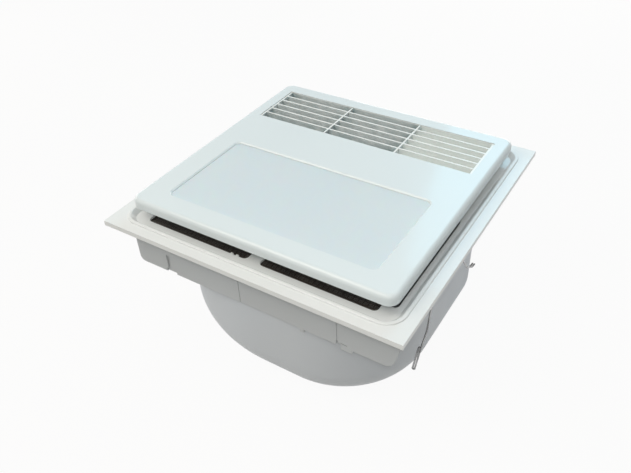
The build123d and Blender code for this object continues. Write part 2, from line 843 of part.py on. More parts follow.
def make_impeller():
    low = impeller_bottom_z
    high = impeller_top_z
    seat = Pos(fan_x, fan_y, 0)
    disc = rod((fan_x, fan_y, low), (0, 0, 1), impeller_radius, impeller_disc)
    hub_low = low + impeller_disc - hub_height / 2
    disc += rod((fan_x, fan_y, hub_low), (0, 0, 1), hub_radius, hub_height)
    ring_low = high - impeller_disc
    ring = tube((fan_x, fan_y, ring_low), (0, 0, 1), impeller_radius,
                impeller_radius - impeller_ring_width, impeller_disc)
    blade = extrude(Pos(0, 0, low) * blade_plan(), high - low)
    blades = [seat * Rot(0, 0, 360 * i / blade_count) * blade for i in range(blade_count)]
    wheel = disc.fuse(ring, *blades)
    return wheel - rod((fan_x, fan_y, 0), (0, 0, 1), shaft_radius, high)


def make_impeller_nut():
    low = impeller_bottom_z + impeller_disc + hub_height / 2
    hexagon = RegularPolygon(nut_width / 2, hexagon_sides)
    nut = extrude(Pos(fan_x, fan_y, low) * hexagon, nut_height)
    return nut - rod((fan_x, fan_y, low - overrun), (0, 0, 1), shaft_radius, nut_height + 2 * overrun)


def make_motor_shaft():
    top = impeller_bottom_z + impeller_disc + hub_height / 2 + nut_height + shaft_radius / 2
    return rod((fan_x, fan_y, shaft_bottom_z), (0, 0, 1), shaft_radius, top - shaft_bottom_z)


motor_top_z = motor_bottom_z + motor_height
stator_low_z = motor_bottom_z + (motor_height - stator_height) / 2


def make_motor_housing():
    can = rod((fan_x, fan_y, motor_bottom_z), (0, 0, 1), motor_radius, motor_height)
    rims = can.edges().filter_by(GeomType.CIRCLE).group_by(Axis.Z)[-1]
    can = fillet(rims, motor_cap)
    hollow = motor_height - 2 * motor_cap
    can -= rod((fan_x, fan_y, motor_bottom_z + motor_cap), (0, 0, 1), motor_radius - motor_wall, hollow)
    step = motor_cap + bearing_width
    for low in (motor_bottom_z + motor_cap, motor_top_z - step):
        can += rod((fan_x, fan_y, low), (0, 0, 1), motor_boss_radius, bearing_width)
        can -= rod((fan_x, fan_y, low), (0, 0, 1), bearing_radius, bearing_width)
    top = motor_top_z - motor_cap - overrun
    return can - rod((fan_x, fan_y, top), (0, 0, 1), shaft_radius + seat_gap, motor_cap + 2 * overrun)


def make_motor_bearings():
    inner = shaft_radius + running_clearance
    low = motor_bottom_z + motor_cap
    high = motor_top_z - motor_cap - bearing_width
    return [tube((fan_x, fan_y, z), (0, 0, 1), bearing_radius, inner, bearing_width) for z in (low, high)]


def make_motor_stator():
    outer = motor_radius - motor_wall
    return tube((fan_x, fan_y, stator_low_z), (0, 0, 1), outer, stator_bore, stator_height)


def make_motor_rotor():
    outer = stator_bore - rotor_gap
    return tube((fan_x, fan_y, stator_low_z), (0, 0, 1), outer, shaft_radius, stator_height)


def mount_places():
    return [fan_point(mount_circle, 360 * (i + 1 / 2) / mount_count) for i in range(mount_count)]


def make_motor_bracket():
    low = motor_bottom_z - bracket_sheet
    plate = rod((fan_x, fan_y, low), (0, 0, 1), bracket_radius, bracket_sheet)
    for x, y in mount_places():
        plate -= screw_hole((x, y, low - overrun), (0, 0, 1), 2 * overrun, motor_screw_radius)
    return plate


def make_motor_mounts():
    low = motor_bottom_z - bracket_sheet - mount_height
    inner = motor_screw_radius + screw_clearance
    return [tube((x, y, low), (0, 0, 1), mount_radius, inner, mount_height) for x, y in mount_places()]


def make_motor_screws():
    length = bracket_sheet + mount_height
    return [screw((x, y, motor_bottom_z), (0, 0, -1), length, motor_screw_radius, motor_screw_head,
                  motor_screw_head_height) for x, y in mount_places()]


def duct_shell(inset):
    low_z = tray_floor_z
    left = duct_left_x + inset
    back = duct_back_y - inset
    low_plan = (left, duct_low_right_x - inset, duct_low_front_y + inset, back)
    high_plan = (left, duct_right_x - inset, duct_front_y + inset, back)
    plans = []
    for (x0, x1, y0, y1), z in ((low_plan, low_z), (high_plan, duct_bend_z)):
        plans.append(Pos((x0 + x1) / 2, (y0 + y1) / 2, z) * Rectangle(x1 - x0, y1 - y0))
    hood = loft(plans)
    x0, x1, y0, y1 = high_plan
    return hood + block(x0, x1, y0, y1, duct_bend_z, floor_under_z)


def make_heater_duct():
    outer = duct_shell(0)
    inner = duct_shell(duct_sheet)
    return outer - inner


def make_outlet_collar():
    low = floor_under_z
    high = floor_z + collar_height
    outer = block(duct_left_x, duct_right_x, duct_front_y, duct_back_y, low, high)
    sheet = duct_sheet
    return outer - block(duct_left_x + sheet, duct_right_x - sheet, duct_front_y + sheet,
                         duct_back_y - sheet, low - overrun, high + overrun)


heater_low_x = duct_left_x + duct_sheet
heater_high_x = duct_right_x - duct_sheet
heater_low_y = duct_front_y + duct_sheet
heater_high_y = duct_back_y - duct_sheet
heater_top_z = heater_bottom_z + heater_height
bar_pitch = (heater_high_y - heater_low_y) / heater_bar_count
bar_low_x = heater_low_x + heater_frame_sheet + terminal_length
bar_high_x = heater_high_x - heater_frame_sheet


def bar_centres():
    return [heater_low_y + bar_pitch * (i + 1 / 2) for i in range(heater_bar_count)]


def make_heater_frame():
    sheet = heater_frame_sheet
    frame = block(heater_low_x, heater_high_x, heater_low_y, heater_high_y, heater_bottom_z, heater_top_z)
    frame -= block(heater_low_x + sheet, heater_high_x - sheet, heater_low_y + sheet,
                   heater_high_y - sheet, heater_bottom_z - overrun, heater_top_z + overrun)
    for y in (heater_low_y + bar_pitch, heater_low_y + 2 * bar_pitch):
        frame += block(heater_low_x, heater_high_x, y - sheet / 2, y + sheet / 2, heater_bottom_z,
                       heater_bottom_z + heater_height / 2)
    shelf = (bar_pitch - heater_bar_width) / 2 + heater_core_thickness
    for y in bar_centres():
        for side in (-1, 1):
            edge = y + side * bar_pitch / 2
            low_y, high_y = sorted((edge, edge - side * shelf))
            frame += block(bar_high_x - terminal_length, bar_high_x, low_y, high_y, heater_bottom_z,
                           heater_bottom_z + sheet)
            frame += block(bar_low_x, bar_low_x + terminal_length, low_y, high_y, heater_bottom_z,
                           heater_bottom_z + sheet)
    frame &= block(heater_low_x, heater_high_x, heater_low_y, heater_high_y, heater_bottom_z, heater_top_z)
    return frame


def make_heater_bars():
    bars = []
    low_z = heater_bottom_z + heater_frame_sheet
    high_z = heater_top_z - heater_frame_sheet
    half = heater_bar_width / 2
    pitch = (bar_high_x - bar_low_x - 2 * fin_margin) / fin_count
    for y in bar_centres():
        core = heater_core_thickness / 2
        bar = block(bar_low_x, bar_high_x, y - core, y + core, low_z, high_z)
        for side in (-1, 1):
            low_y, high_y = sorted((y + side * half, y + side * (half - fin_thickness)))
            bar += block(bar_low_x, bar_high_x, low_y, high_y, low_z, high_z)
        fins = []
        for i in range(fin_count):
            x = bar_low_x + fin_margin + pitch * (i + 1 / 2)
            fin = block(x - fin_thickness / 2, x + fin_thickness / 2, y - half, y + half, low_z, high_z)
            fins.append(fin)
        bars.append(bar.fuse(*fins))
    return bars


def make_heater_terminals():
    low_x = bar_low_x - terminal_length
    mid_z = (heater_bottom_z + heater_top_z) / 2
    half = terminal_thickness / 2
    tabs = []
    for y in bar_centres():
        tabs.append(block(low_x, bar_low_x, y - half, y + half, mid_z - terminal_width / 2,
                          mid_z + terminal_width / 2))
    return tabs


def make_thermal_cutout():
    x = (duct_left_x + duct_right_x) / 2
    seat = (x, duct_front_y, (heater_bottom_z + heater_top_z) / 2)
    body = rod(seat, (0, -1, 0), cutout_radius, cutout_height / 2)
    body += rod(seat, (0, -1, 0), cutout_radius * 3 / 4, cutout_height)
    half = terminal_thickness / 2
    for side in (-1, 1):
        low_x, high_x = sorted((x + side * cutout_radius / 2, x + side * cutout_radius * 3 / 2))
        body += block(low_x, high_x, duct_front_y - cutout_height - half, duct_front_y - cutout_height + half,
                      seat[2] - terminal_width / 2, seat[2] + terminal_width / 2)
    return body


box_low_x = -tray_half + tray_wall
box_high_x = box_low_x + box_width
box_top_z = tray_floor_z + box_height


def lid_screw_seats():
    inset = lid_screw_inset
    return [(x, y) for x in (box_low_x + inset, box_high_x - inset)
            for y in (box_front_y + inset, box_back_y - inset)]


def make_wiring_box():
    wall = box_wall
    box = block(box_low_x, box_high_x, box_front_y, box_back_y, tray_floor_z, box_top_z)
    box -= block(box_low_x + wall, box_high_x - wall, box_front_y + wall, box_back_y - wall,
                 tray_floor_z + wall, top_z)
    for x, y in lid_screw_seats():
        box += rod((x, y, tray_floor_z), (0, 0, 1), lid_screw_inset - seat_gap, box_height)
        box -= screw_hole((x, y, box_top_z), (0, 0, -1), box_height / 2)
    box -= rod((box_low_x - overrun, gland_y, gland_z), (1, 0, 0), gland_thread_radius, 2 * overrun)
    return box


def make_wiring_box_lid():
    lid = block(box_low_x, box_high_x, box_front_y, box_back_y, box_top_z, box_top_z + lid_thickness)
    for x, y in lid_screw_seats():
        lid -= screw_hole((x, y, box_top_z - overrun), (0, 0, 1), 2 * overrun)
    return lid


def make_lid_screws():
    top = box_top_z + lid_thickness
    return [screw((x, y, top), (0, 0, -1), tab_screw_length) for x, y in lid_screw_seats()]


def make_cable_gland():
    outside = -tray_half
    inside = box_low_x + box_wall
    seat = (outside, gland_y, gland_z)
    hexagon = Plane(origin=seat, z_dir=(-1, 0, 0)) * RegularPolygon(gland_radius, hexagon_sides)
    gland = extrude(hexagon, gland_reach / 2)
    cap_x = outside - gland_reach / 2
    gland += rod((cap_x, gland_y, gland_z), (-1, 0, 0), gland_radius * gland_cap_share, gland_reach / 2)
    gland += rod(seat, (1, 0, 0), gland_thread_radius, inside - outside + gland_nut_length)
    gland += tube((inside, gland_y, gland_z), (1, 0, 0), gland_radius, gland_bore, gland_nut_length)
    return gland - rod((outside - gland_reach - overrun, gland_y, gland_z), (1, 0, 0), gland_bore,
                       2 * gland_reach + 2 * overrun)


def make_terminal_block():
    wide, long, high = terminal_block_size
    x = (box_low_x + box_high_x) / 2 - wide / 2
    y = box_front_y + long / 2 + lid_screw_inset
    low = tray_floor_z + box_wall
    body = block(x - wide / 2, x + wide / 2, y - long / 2, y + long / 2, low, low + high)
    pitch = long / terminal_ways
    for i in range(terminal_ways):
        centre_y = y - long / 2 + pitch * (i + 1 / 2)
        for side in (-1, 1):
            body -= rod((x + side * wide / 4, centre_y, low + high), (0, 0, -1), way_radius, way_depth)
    return body


def make_control_board():
    wide, long, thick = board_size
    high_x = box_high_x - box_wall - seat_gap
    high_y = box_back_y - box_wall - 2 * lid_screw_inset
    low = tray_floor_z + box_wall
    board = block(high_x - wide, high_x, high_y - long, high_y, low + board_foot, low + board_foot + thick)
    for x in (high_x - wide + board_foot, high_x - board_foot):
        for y in (high_y - long + board_foot, high_y - board_foot):
            board += rod((x, y, low), (0, 0, 1), board_foot / 2, board_foot)
    relay_x, relay_y, relay_z = relay_size
    pitch = long / relay_count
    for i in range(relay_count):
        y = high_y - long + pitch * (i + 1 / 2)
        x = high_x - wide / 2
        top = low + board_foot + thick
        board += block(x - relay_x / 2, x + relay_x / 2, y - relay_y / 2, y + relay_y / 2, top, top + relay_z)
    return board


def make_run_capacitor():
    x = box_high_x - box_wall - capacitor_radius
    y = box_front_y + box_wall + 2 * lid_screw_inset + capacitor_radius
    z = tray_floor_z + box_wall
    return rod((x, y, z), (0, 0, 1), capacitor_radius, capacitor_length)


def clip_places():
    return {
        "clip_front_right": (1, clip_front_y, -1, front_clip_run),
        "clip_back_right": (1, clip_back_y, 1, back_clip_run),
        "clip_front_left": (-1, clip_front_y, -1, front_clip_run),
        "clip_back_left": (-1, clip_back_y, 1, back_clip_run),
    }


def make_clip_brackets():
    brackets = []
    for side, y, lean, run in clip_places().values():
        x = side * clip_x
        half_x = clip_lug_width / 2
        half_y = clip_plate_length / 2
        plate = block(x - half_x, x + half_x, y - half_y, y + half_y, skin_under_z - clip_lug_thickness,
                      skin_under_z)
        gap = clip_eye_length / 2 + seat_gap
        for edge in (-1, 1):
            low_y, high_y = sorted((y + edge * gap, y + edge * (gap + clip_lug_thickness)))
            lug = block(x - half_x, x + half_x, low_y, high_y, clip_pivot_z, skin_under_z)
            lug += rod((x, low_y, clip_pivot_z), (0, 1, 0), half_x, clip_lug_thickness)
            plate += lug
        plate -= rod((x, y - half_y, clip_pivot_z), (0, 1, 0), clip_pin_radius, 2 * half_y)
        brackets.append(plate)
    return brackets


def make_clip_pins():
    pins = []
    for side, y, lean, run in clip_places().values():
        start = (side * clip_x, y - clip_pin_length / 2, clip_pivot_z)
        pins.append(rod(start, (0, 1, 0), clip_pin_radius, clip_pin_length))
    return pins


def wire(points, radius):
    bends = [radius * 3] * (len(points) - 2)
    path = FilletPolyline(*points, radius=bends) if bends else Line(*points)
    start = path @ 0
    section = Plane(origin=start, z_dir=path % 0) * Circle(radius)
    return sweep(section, path=path)


def make_clip(side, y, lean, run):
    x = side * clip_x
    points = [(x, y, clip_pivot_z - clip_eye_radius + clip_wire_radius)]
    points += [(x, y + lean * out, clip_pivot_z - down) for out, down in run]
    leg = wire(points, clip_wire_radius)
    eye_low = y - clip_eye_length / 2
    bore = clip_pin_radius + running_clearance
    eye = tube((x, eye_low, clip_pivot_z), (0, 1, 0), clip_eye_radius, bore, clip_eye_length)
    inner = x - side * clip_pair_gap
    back = [(inner, py, pz) for px, py, pz in points[2:]]
    second = wire([back[0], back[-1]], clip_wire_radius)
    end = Vector(*points[-1])
    along = (end - Vector(*points[-2])).normalized()
    centre = end + along * clip_curl_radius
    curl_plane = Plane(origin=(x - side * clip_pair_gap / 2, centre.Y, centre.Z), z_dir=(1, 0, 0))
    curl = curl_plane * Torus(clip_curl_radius, clip_wire_radius)
    link = rod((min(x, inner), end.Y, end.Z), (1, 0, 0), clip_wire_radius, clip_pair_gap)
    low_link = rod((min(x, inner), back[0][1], back[0][2]), (1, 0, 0), clip_wire_radius, clip_pair_gap)
    body = eye.fuse(leg, second, link, low_link, curl)
    return body - rod((x, eye_low - overrun, clip_pivot_z), (0, 1, 0), bore, clip_eye_length + 2 * overrun)


cover_half = cover_width / 2
window_half = window_width / 2
diffuser_z = cover_under_z - diffuser_thickness
lamp_bottom_z = diffuser_z - lamp_depth
lamp_half = window_half + diffuser_overlap
lamp_front_y = window_front_y - diffuser_overlap
lamp_back_y = window_back_y + diffuser_overlap
grille_half = grille_width / 2
grille_top_z = top_z - grille_sink
grille_bottom_z = grille_top_z - grille_depth


def lamp_screw_seats():
    x = lamp_half + lamp_ear_reach / 2
    inset = (lamp_back_y - lamp_front_y) / 4
    return [(side * x, y) for side in (-1, 1) for y in (lamp_front_y + inset, lamp_back_y - inset)]


def make_cover_plate():
    plate = slab(-cover_half, cover_half, cover_front_y, cover_back_y, cover_z, top_z, cover_corner)
    plate = fillet(plate.faces().sort_by(Axis.Z)[-1].edges(), cover_rounding)
    wall = cover_wall
    hollow = slab(-cover_half + wall, cover_half - wall, cover_front_y + wall, cover_back_y - wall,
                  cover_z - overrun, cover_under_z, cover_corner - wall)
    plate -= fillet(hollow.faces().sort_by(Axis.Z)[-1].edges(), cover_rounding - wall)
    plate -= slab(-window_half, window_half, window_front_y, window_back_y, cover_z, top_z + overrun,
                  window_corner)
    bevel = window_bevel
    flare = loft([
        Pos(0, (window_front_y + window_back_y) / 2, z) * RectangleRounded(
            window_width + 2 * grow, window_back_y - window_front_y + 2 * grow, window_corner + grow)
        for z, grow in ((top_z - bevel, 0), (top_z, bevel))])
    plate -= flare
    plate -= block(-grille_half, grille_half, grille_front_y, grille_back_y, cover_z, top_z + overrun)
    boss_low = diffuser_z - lamp_boss_radius
    for x, y in lamp_screw_seats():
        plate += rod((x, y, boss_low), (0, 0, 1), lamp_boss_radius, cover_under_z - boss_low)
        plate -= screw_hole((x, y, boss_low - overrun), (0, 0, 1), overrun + lamp_boss_radius + seat_gap)
    half_x = catch_width / 2
    half_y = catch_depth / 2
    low = magnet_top_z + seat_gap + catch_plate_thickness
    plate += block(catch_x - half_x, catch_x + half_x, catch_y - half_y, catch_y + half_y, low, cover_under_z)
    return plate


def make_catch_plate():
    half_x = catch_width / 2
    half_y = catch_depth / 2
    low = magnet_top_z + seat_gap
    return block(catch_x - half_x, catch_x + half_x, catch_y - half_y, catch_y + half_y, low,
                 low + catch_plate_thickness)


def make_light_diffuser():
    return slab(-lamp_half, lamp_half, lamp_front_y, lamp_back_y, diffuser_z, cover_under_z, window_corner)


def make_light_tray():
    sheet = lamp_sheet
    tray = block(-lamp_half, lamp_half, lamp_front_y, lamp_back_y, lamp_bottom_z, diffuser_z)
    tray -= block(-lamp_half + sheet, lamp_half - sheet, lamp_front_y + sheet, lamp_back_y - sheet,
                  lamp_bottom_z + sheet, top_z)
    ear_top = diffuser_z - lamp_boss_radius
    for x, y in lamp_screw_seats():
        side = 1 if x > 0 else -1
        low_x, high_x = sorted((side * lamp_half, side * (lamp_half + lamp_ear_reach)))
        half = lamp_ear_width / 2
        tray += block(low_x, high_x, y - half, y + half, ear_top - sheet, ear_top)
        tray -= screw_hole((x, y, ear_top + overrun), (0, 0, -1), 2 * overrun)
    return tray


def make_light_screws():
    low = diffuser_z - lamp_boss_radius - lamp_sheet
    return [screw((x, y, low), (0, 0, 1), lamp_sheet + lamp_boss_radius) for x, y in lamp_screw_seats()]


def make_led_board():
    low = lamp_bottom_z + lamp_sheet
    margin = lamp_sheet + seat_gap
    board = block(-lamp_half + margin, lamp_half - margin, lamp_front_y + margin, lamp_back_y - margin,
                  low, low + board_thickness)
    wide = 2 * (lamp_half - led_margin)
    deep = lamp_back_y - lamp_front_y - 2 * led_margin
    centre = Pos(0, (lamp_front_y + lamp_back_y) / 2, low + board_thickness)
    places = GridLocations(wide / (led_columns - 1), deep / (led_rows - 1), led_columns, led_rows)
    chips = Sketch() + [place * Rectangle(led_size, led_size) for place in places]
    return board + extrude(centre * chips, led_height)


def make_grille_insert():
    half = grille_half - grille_gap
    front = grille_front_y + grille_gap
    back = grille_back_y - grille_gap
    low = grille_bottom_z
    insert = block(-half, half, front, back, low, grille_top_z)
    bay = 2 * grille_half / bays
    pitch = (grille_back_y - grille_front_y) / (slats_per_bay + 1)
    side_bar = grille_bar
    for i in range(bays):
        low_x = -grille_half + i * bay + (side_bar if i == 0 else divider_thickness / 2)
        high_x = -grille_half + (i + 1) * bay - (side_bar if i == bays - 1 else divider_thickness / 2)
        for j in range(slats_per_bay + 1):
            low_y = grille_front_y + j * pitch + slat_thickness / 2
            high_y = grille_front_y + (j + 1) * pitch - slat_thickness / 2
            insert -= block(low_x, high_x, low_y, high_y, low - overrun, grille_top_z + overrun)
    lip = grille_gap + cover_wall
    return insert + make_insert_lip(lip)


def make_insert_lip(reach):
    half = grille_half + reach
    front = grille_front_y - reach
    back = grille_back_y + reach
    low = cover_under_z - cover_wall
    lip = block(-half, half, front, back, low, cover_under_z)
    inner = grille_half - grille_gap
    return lip - block(-inner, inner, grille_front_y + grille_gap, grille_back_y - grille_gap,
                       low - overrun, cover_under_z + overrun)


def make_blank_plate():
    bay = 2 * grille_half / bays
    low_x = grille_half - bay + blank_margin
    high_x = grille_half - blank_margin
    return block(low_x, high_x, grille_front_y + blank_margin, grille_back_y - blank_margin,
                 grille_bottom_z - blank_thickness, grille_bottom_z)


def make_hinge_arms():
    arms = []
    for side in (-1, 1):
        low_x = side * hinge_x - hinge_arm_width / 2
        half = hinge_arm_thickness / 2
        high_x = low_x + hinge_arm_width
        arm = block(low_x, high_x, hinge_y - half, hinge_y + half, hinge_z, cover_under_z)
        arm += rod((low_x, hinge_y, hinge_z), (1, 0, 0), hinge_knuckle_radius, hinge_arm_width)
        bore = hinge_pin_radius + running_clearance
        arm -= rod((low_x - overrun, hinge_y, hinge_z), (1, 0, 0), bore, hinge_arm_width + 2 * overrun)
        arms.append(arm)
    return arms


pieces = {
    "face_frame": make_face_frame(),
    "base_tray": make_base_tray(),
    "front_skirt": make_front_skirt(),
    "scroll_housing": make_scroll_housing(),
    "scroll_screws": make_scroll_screws(),
    "inlet_ring": make_inlet_ring(),
    "intake_filter_left": make_filter(slot_left_x),
    "intake_filter_right": make_filter(slot_right_x),
    "frame_screws": make_frame_screws(),
    "mounting_ears": make_mounting_ears(),
    "ear_screws": make_ear_screws(),
    "duct_spigot": make_duct_spigot(),
    "spigot_screws": make_spigot_screws(),
    "flap_pin": make_flap_pin(),
    "backdraft_flap": make_backdraft_flap(),
    "damper_blade": make_damper_blade(),
    "damper_shaft": make_damper_shaft(),
    "damper_motor": make_damper_motor(),
    "damper_screw": make_damper_screw(),
    "impeller": make_impeller(),
    "impeller_nut": make_impeller_nut(),
    "motor_shaft": make_motor_shaft(),
    "motor_rotor": make_motor_rotor(),
    "motor_stator": make_motor_stator(),
    "motor_housing": make_motor_housing(),
    "motor_bearings": make_motor_bearings(),
    "motor_bracket": make_motor_bracket(),
    "motor_mounts": make_motor_mounts(),
    "motor_screws": make_motor_screws(),
    "heater_duct": make_heater_duct(),
    "outlet_collar": make_outlet_collar(),
    "heater_frame": make_heater_frame(),
    "heater_bars": make_heater_bars(),
    "heater_terminals": make_heater_terminals(),
    "thermal_cutout": make_thermal_cutout(),
    "wiring_box": make_wiring_box(),
    "wiring_box_lid": make_wiring_box_lid(),
    "lid_screws": make_lid_screws(),
    "cable_gland": make_cable_gland(),
    "terminal_block": make_terminal_block(),
    "control_board": make_control_board(),
    "run_capacitor": make_run_capacitor(),
    "clip_brackets": make_clip_brackets(),
    "clip_pins": make_clip_pins(),
    "hinge_pins": make_hinge_pins(),
    "catch_magnet": make_catch_magnet(),
    "cover_plate": make_cover_plate(),
    "catch_plate": make_catch_plate(),
    "light_diffuser": make_light_diffuser(),
    "light_tray": make_light_tray(),
    "light_screws": make_light_screws(),
    "led_board": make_led_board(),
    "grille_insert": make_grille_insert(),
    "blank_plate": make_blank_plate(),
    "hinge_arms": make_hinge_arms(),
}
for clip_name, place in clip_places().items():
    pieces[clip_name] = make_clip(*place)
for piece_name, shape in pieces.items():
    save(piece_name, shape)
print(len(pieces), "pieces")
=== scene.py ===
# %% [markdown]
# # A bathroom ceiling heater, dressed for a studio picture
# The heater hangs in a ceiling with its square face down. Here it stands on its fan housing, so the face looks up.
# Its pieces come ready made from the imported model, at their real size and in metres, and none of them is moved.
# This notebook gives each piece the surface of its real material, adds the small details that a mould or a
# press leaves, and then lights the object like a product photograph.

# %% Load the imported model
import math

import bmesh
import bpy
from mathutils import Matrix, Vector


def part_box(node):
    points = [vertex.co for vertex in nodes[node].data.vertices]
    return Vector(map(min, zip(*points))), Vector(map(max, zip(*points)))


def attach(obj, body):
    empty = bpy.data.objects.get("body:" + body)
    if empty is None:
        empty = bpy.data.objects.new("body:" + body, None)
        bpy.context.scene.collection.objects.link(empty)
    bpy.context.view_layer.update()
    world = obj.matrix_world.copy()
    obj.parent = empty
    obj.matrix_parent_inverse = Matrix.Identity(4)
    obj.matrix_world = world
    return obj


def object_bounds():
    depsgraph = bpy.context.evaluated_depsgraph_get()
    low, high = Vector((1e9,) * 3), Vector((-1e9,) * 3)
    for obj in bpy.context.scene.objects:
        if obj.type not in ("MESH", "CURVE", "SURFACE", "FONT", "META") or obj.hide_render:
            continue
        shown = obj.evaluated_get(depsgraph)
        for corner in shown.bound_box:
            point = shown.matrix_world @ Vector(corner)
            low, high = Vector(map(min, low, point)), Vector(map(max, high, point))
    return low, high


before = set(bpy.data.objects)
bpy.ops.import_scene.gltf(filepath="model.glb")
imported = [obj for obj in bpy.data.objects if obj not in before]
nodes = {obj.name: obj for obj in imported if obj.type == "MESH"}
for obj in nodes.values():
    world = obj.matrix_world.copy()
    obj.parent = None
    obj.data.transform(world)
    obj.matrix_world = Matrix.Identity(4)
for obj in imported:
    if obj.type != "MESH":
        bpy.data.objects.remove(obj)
cad_low, cad_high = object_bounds()
scene = bpy.context.scene
MM = 0.001
print("pieces:", len(nodes), "size in mm:", [round(x / MM, 1) for x in cad_high - cad_low])

# %% [markdown]
# ## Camera
# The photograph was taken from above one corner, and fairly close, so the far edge of the face looks shorter than
# the near one. The view could be found by eye, but the straight edges of the face fix it: the corners of the
# panel, of the window and of the grille were matched to the picture, and that gave the place, the turn and the lens.

# %% Place the camera
CAMERA_PLACE = Vector((0.39956, -0.64426, 0.72890))
CAMERA_RIGHT = Vector((0.8474, 0.5298, -0.0357))
CAMERA_UP = Vector((-0.3079, 0.5447, 0.7801))
LENS_MM = 38.08
SENSOR_MM = 36.0


def place_camera():
    right = CAMERA_RIGHT.normalized()
    back = right.cross(CAMERA_UP).normalized()
    up = back.cross(right)
    data = bpy.data.cameras.new("photo_view")
    data.lens = LENS_MM
    data.sensor_width = SENSOR_MM
    data.sensor_fit = "HORIZONTAL"
    data.clip_start = 0.05
    data.clip_end = 30.0
    camera = bpy.data.objects.new("photo_view", data)
    scene.collection.objects.link(camera)
    turn = Matrix((right, up, back)).transposed().to_4x4()
    camera.matrix_world = Matrix.Translation(CAMERA_PLACE) @ turn
    scene.camera = camera
    return camera


camera = place_camera()
print("camera stands", round(CAMERA_PLACE.length, 3), "m from the origin")

# %% [markdown]
# ## Studio
# A white product photograph needs a pale floor that runs out of the picture, and large soft lamps. A sky alone
# would light the face and the walls alike and lose their shape. So a wide lamp hangs over the face, a warm one
# stands in front on the left, and a small one just above the camera draws the thin dark line under the rim of the
# face. A bluish one stands behind like a window, where the right half of the glossy face mirrors it. Two low ones
# fill the back and the left wall, which the camera doesn't see, so that these read well from other sides too.
# The sky is brighter overhead than at the horizon, as in a room, so the walls come out darker than the face. The
# floor shows white to the camera and to reflections, yet it keeps part of its own shading, so the shadow stays, and
# its paper is darker than white, so little light comes from below.

# %% Light the studio
LAMP_LEVEL = 0.70
LAMP_ABOVE_CAMERA = 0.025
FLOOR_HALF = 6.0
FLOOR_WHITE_SHARE = 0.94
FLOOR_PAPER = (0.60, 0.58, 0.55, 1.0)
SKY_COLOUR = (1.0, 0.985, 0.965, 1.0)
SKY_FULL_HEIGHT = 0.9
SKY_STRENGTH = (0.11, 0.53)
# Each lamp: its place, its width and height, its watts and its colour.
LAMPS = {
    "ceiling_panel": ((0.2, 0.3, 1.9), (1.6, 1.4), 4.6, (1.0, 0.99, 0.97)),
    "window_panel": ((0.03, 1.2, 1.15), (0.75, 0.55), 5.5, (0.34, 0.78, 1.0)),
    "warm_side_panel": ((-0.6, -0.9, 1.5), (0.9, 0.8), 13.5, (1.0, 0.93, 0.83)),
    "back_fill": ((-0.2, 1.7, 0.45), (1.2, 0.5), 7.0, (1.0, 0.95, 0.88)),
    "left_fill": ((-1.7, 0.2, 0.45), (1.2, 0.5), 5.0, (1.0, 0.98, 0.95)),
    "camera_lamp": (CAMERA_PLACE + CAMERA_UP * LAMP_ABOVE_CAMERA, (0.08, 0.04), 1.7, (1.0, 0.98, 0.95)),
}


def area_lamp(name, target, place, size, watts, colour):
    data = bpy.data.lights.new(name, "AREA")
    data.shape = "RECTANGLE"
    data.size, data.size_y = size
    data.energy = watts * LAMP_LEVEL
    data.color = colour
    lamp = bpy.data.objects.new(name, data)
    lamp.location = place
    lamp.rotation_mode = "QUATERNION"
    lamp.rotation_quaternion = (Vector(target) - Vector(place)).to_track_quat("-Z", "Y")
    scene.collection.objects.link(lamp)
    return lamp


def seen_directly(tree):
    """A mask that is one for camera, glossy and transmission rays."""
    path = tree.nodes.new("ShaderNodeLightPath")
    total = None
    for name in ("Is Camera Ray", "Is Glossy Ray", "Is Transmission Ray"):
        if total is None:
            total = path.outputs[name]
            continue
        join = tree.nodes.new("ShaderNodeMath")
        join.operation = "MAXIMUM"
        tree.links.new(total, join.inputs[0])
        tree.links.new(path.outputs[name], join.inputs[1])
        total = join.outputs[0]
    return total


def light_world():
    world = bpy.data.worlds.new("studio")
    world.use_nodes = True
    tree = world.node_tree
    tree.nodes.clear()
    fill = tree.nodes.new("ShaderNodeBackground")
    fill.inputs["Color"].default_value = SKY_COLOUR
    direction = tree.nodes.new("ShaderNodeTexCoord")
    height = tree.nodes.new("ShaderNodeSeparateXYZ")
    ceiling = tree.nodes.new("ShaderNodeMapRange")
    for name, value in zip(("From Min", "From Max", "To Min", "To Max"), (0.0, SKY_FULL_HEIGHT, *SKY_STRENGTH)):
        ceiling.inputs[name].default_value = value
    tree.links.new(direction.outputs["Generated"], height.inputs[0])
    tree.links.new(height.outputs["Z"], ceiling.inputs["Value"])
    tree.links.new(ceiling.outputs["Result"], fill.inputs["Strength"])
    white = tree.nodes.new("ShaderNodeBackground")
    white.inputs["Color"].default_value = (1.0, 1.0, 1.0, 1.0)
    white.inputs["Strength"].default_value = 1.0
    mix = tree.nodes.new("ShaderNodeMixShader")
    out = tree.nodes.new("ShaderNodeOutputWorld")
    tree.links.new(seen_directly(tree), mix.inputs["Fac"])
    tree.links.new(fill.outputs[0], mix.inputs[1])
    tree.links.new(white.outputs[0], mix.inputs[2])
    tree.links.new(mix.outputs[0], out.inputs["Surface"])
    scene.world = world


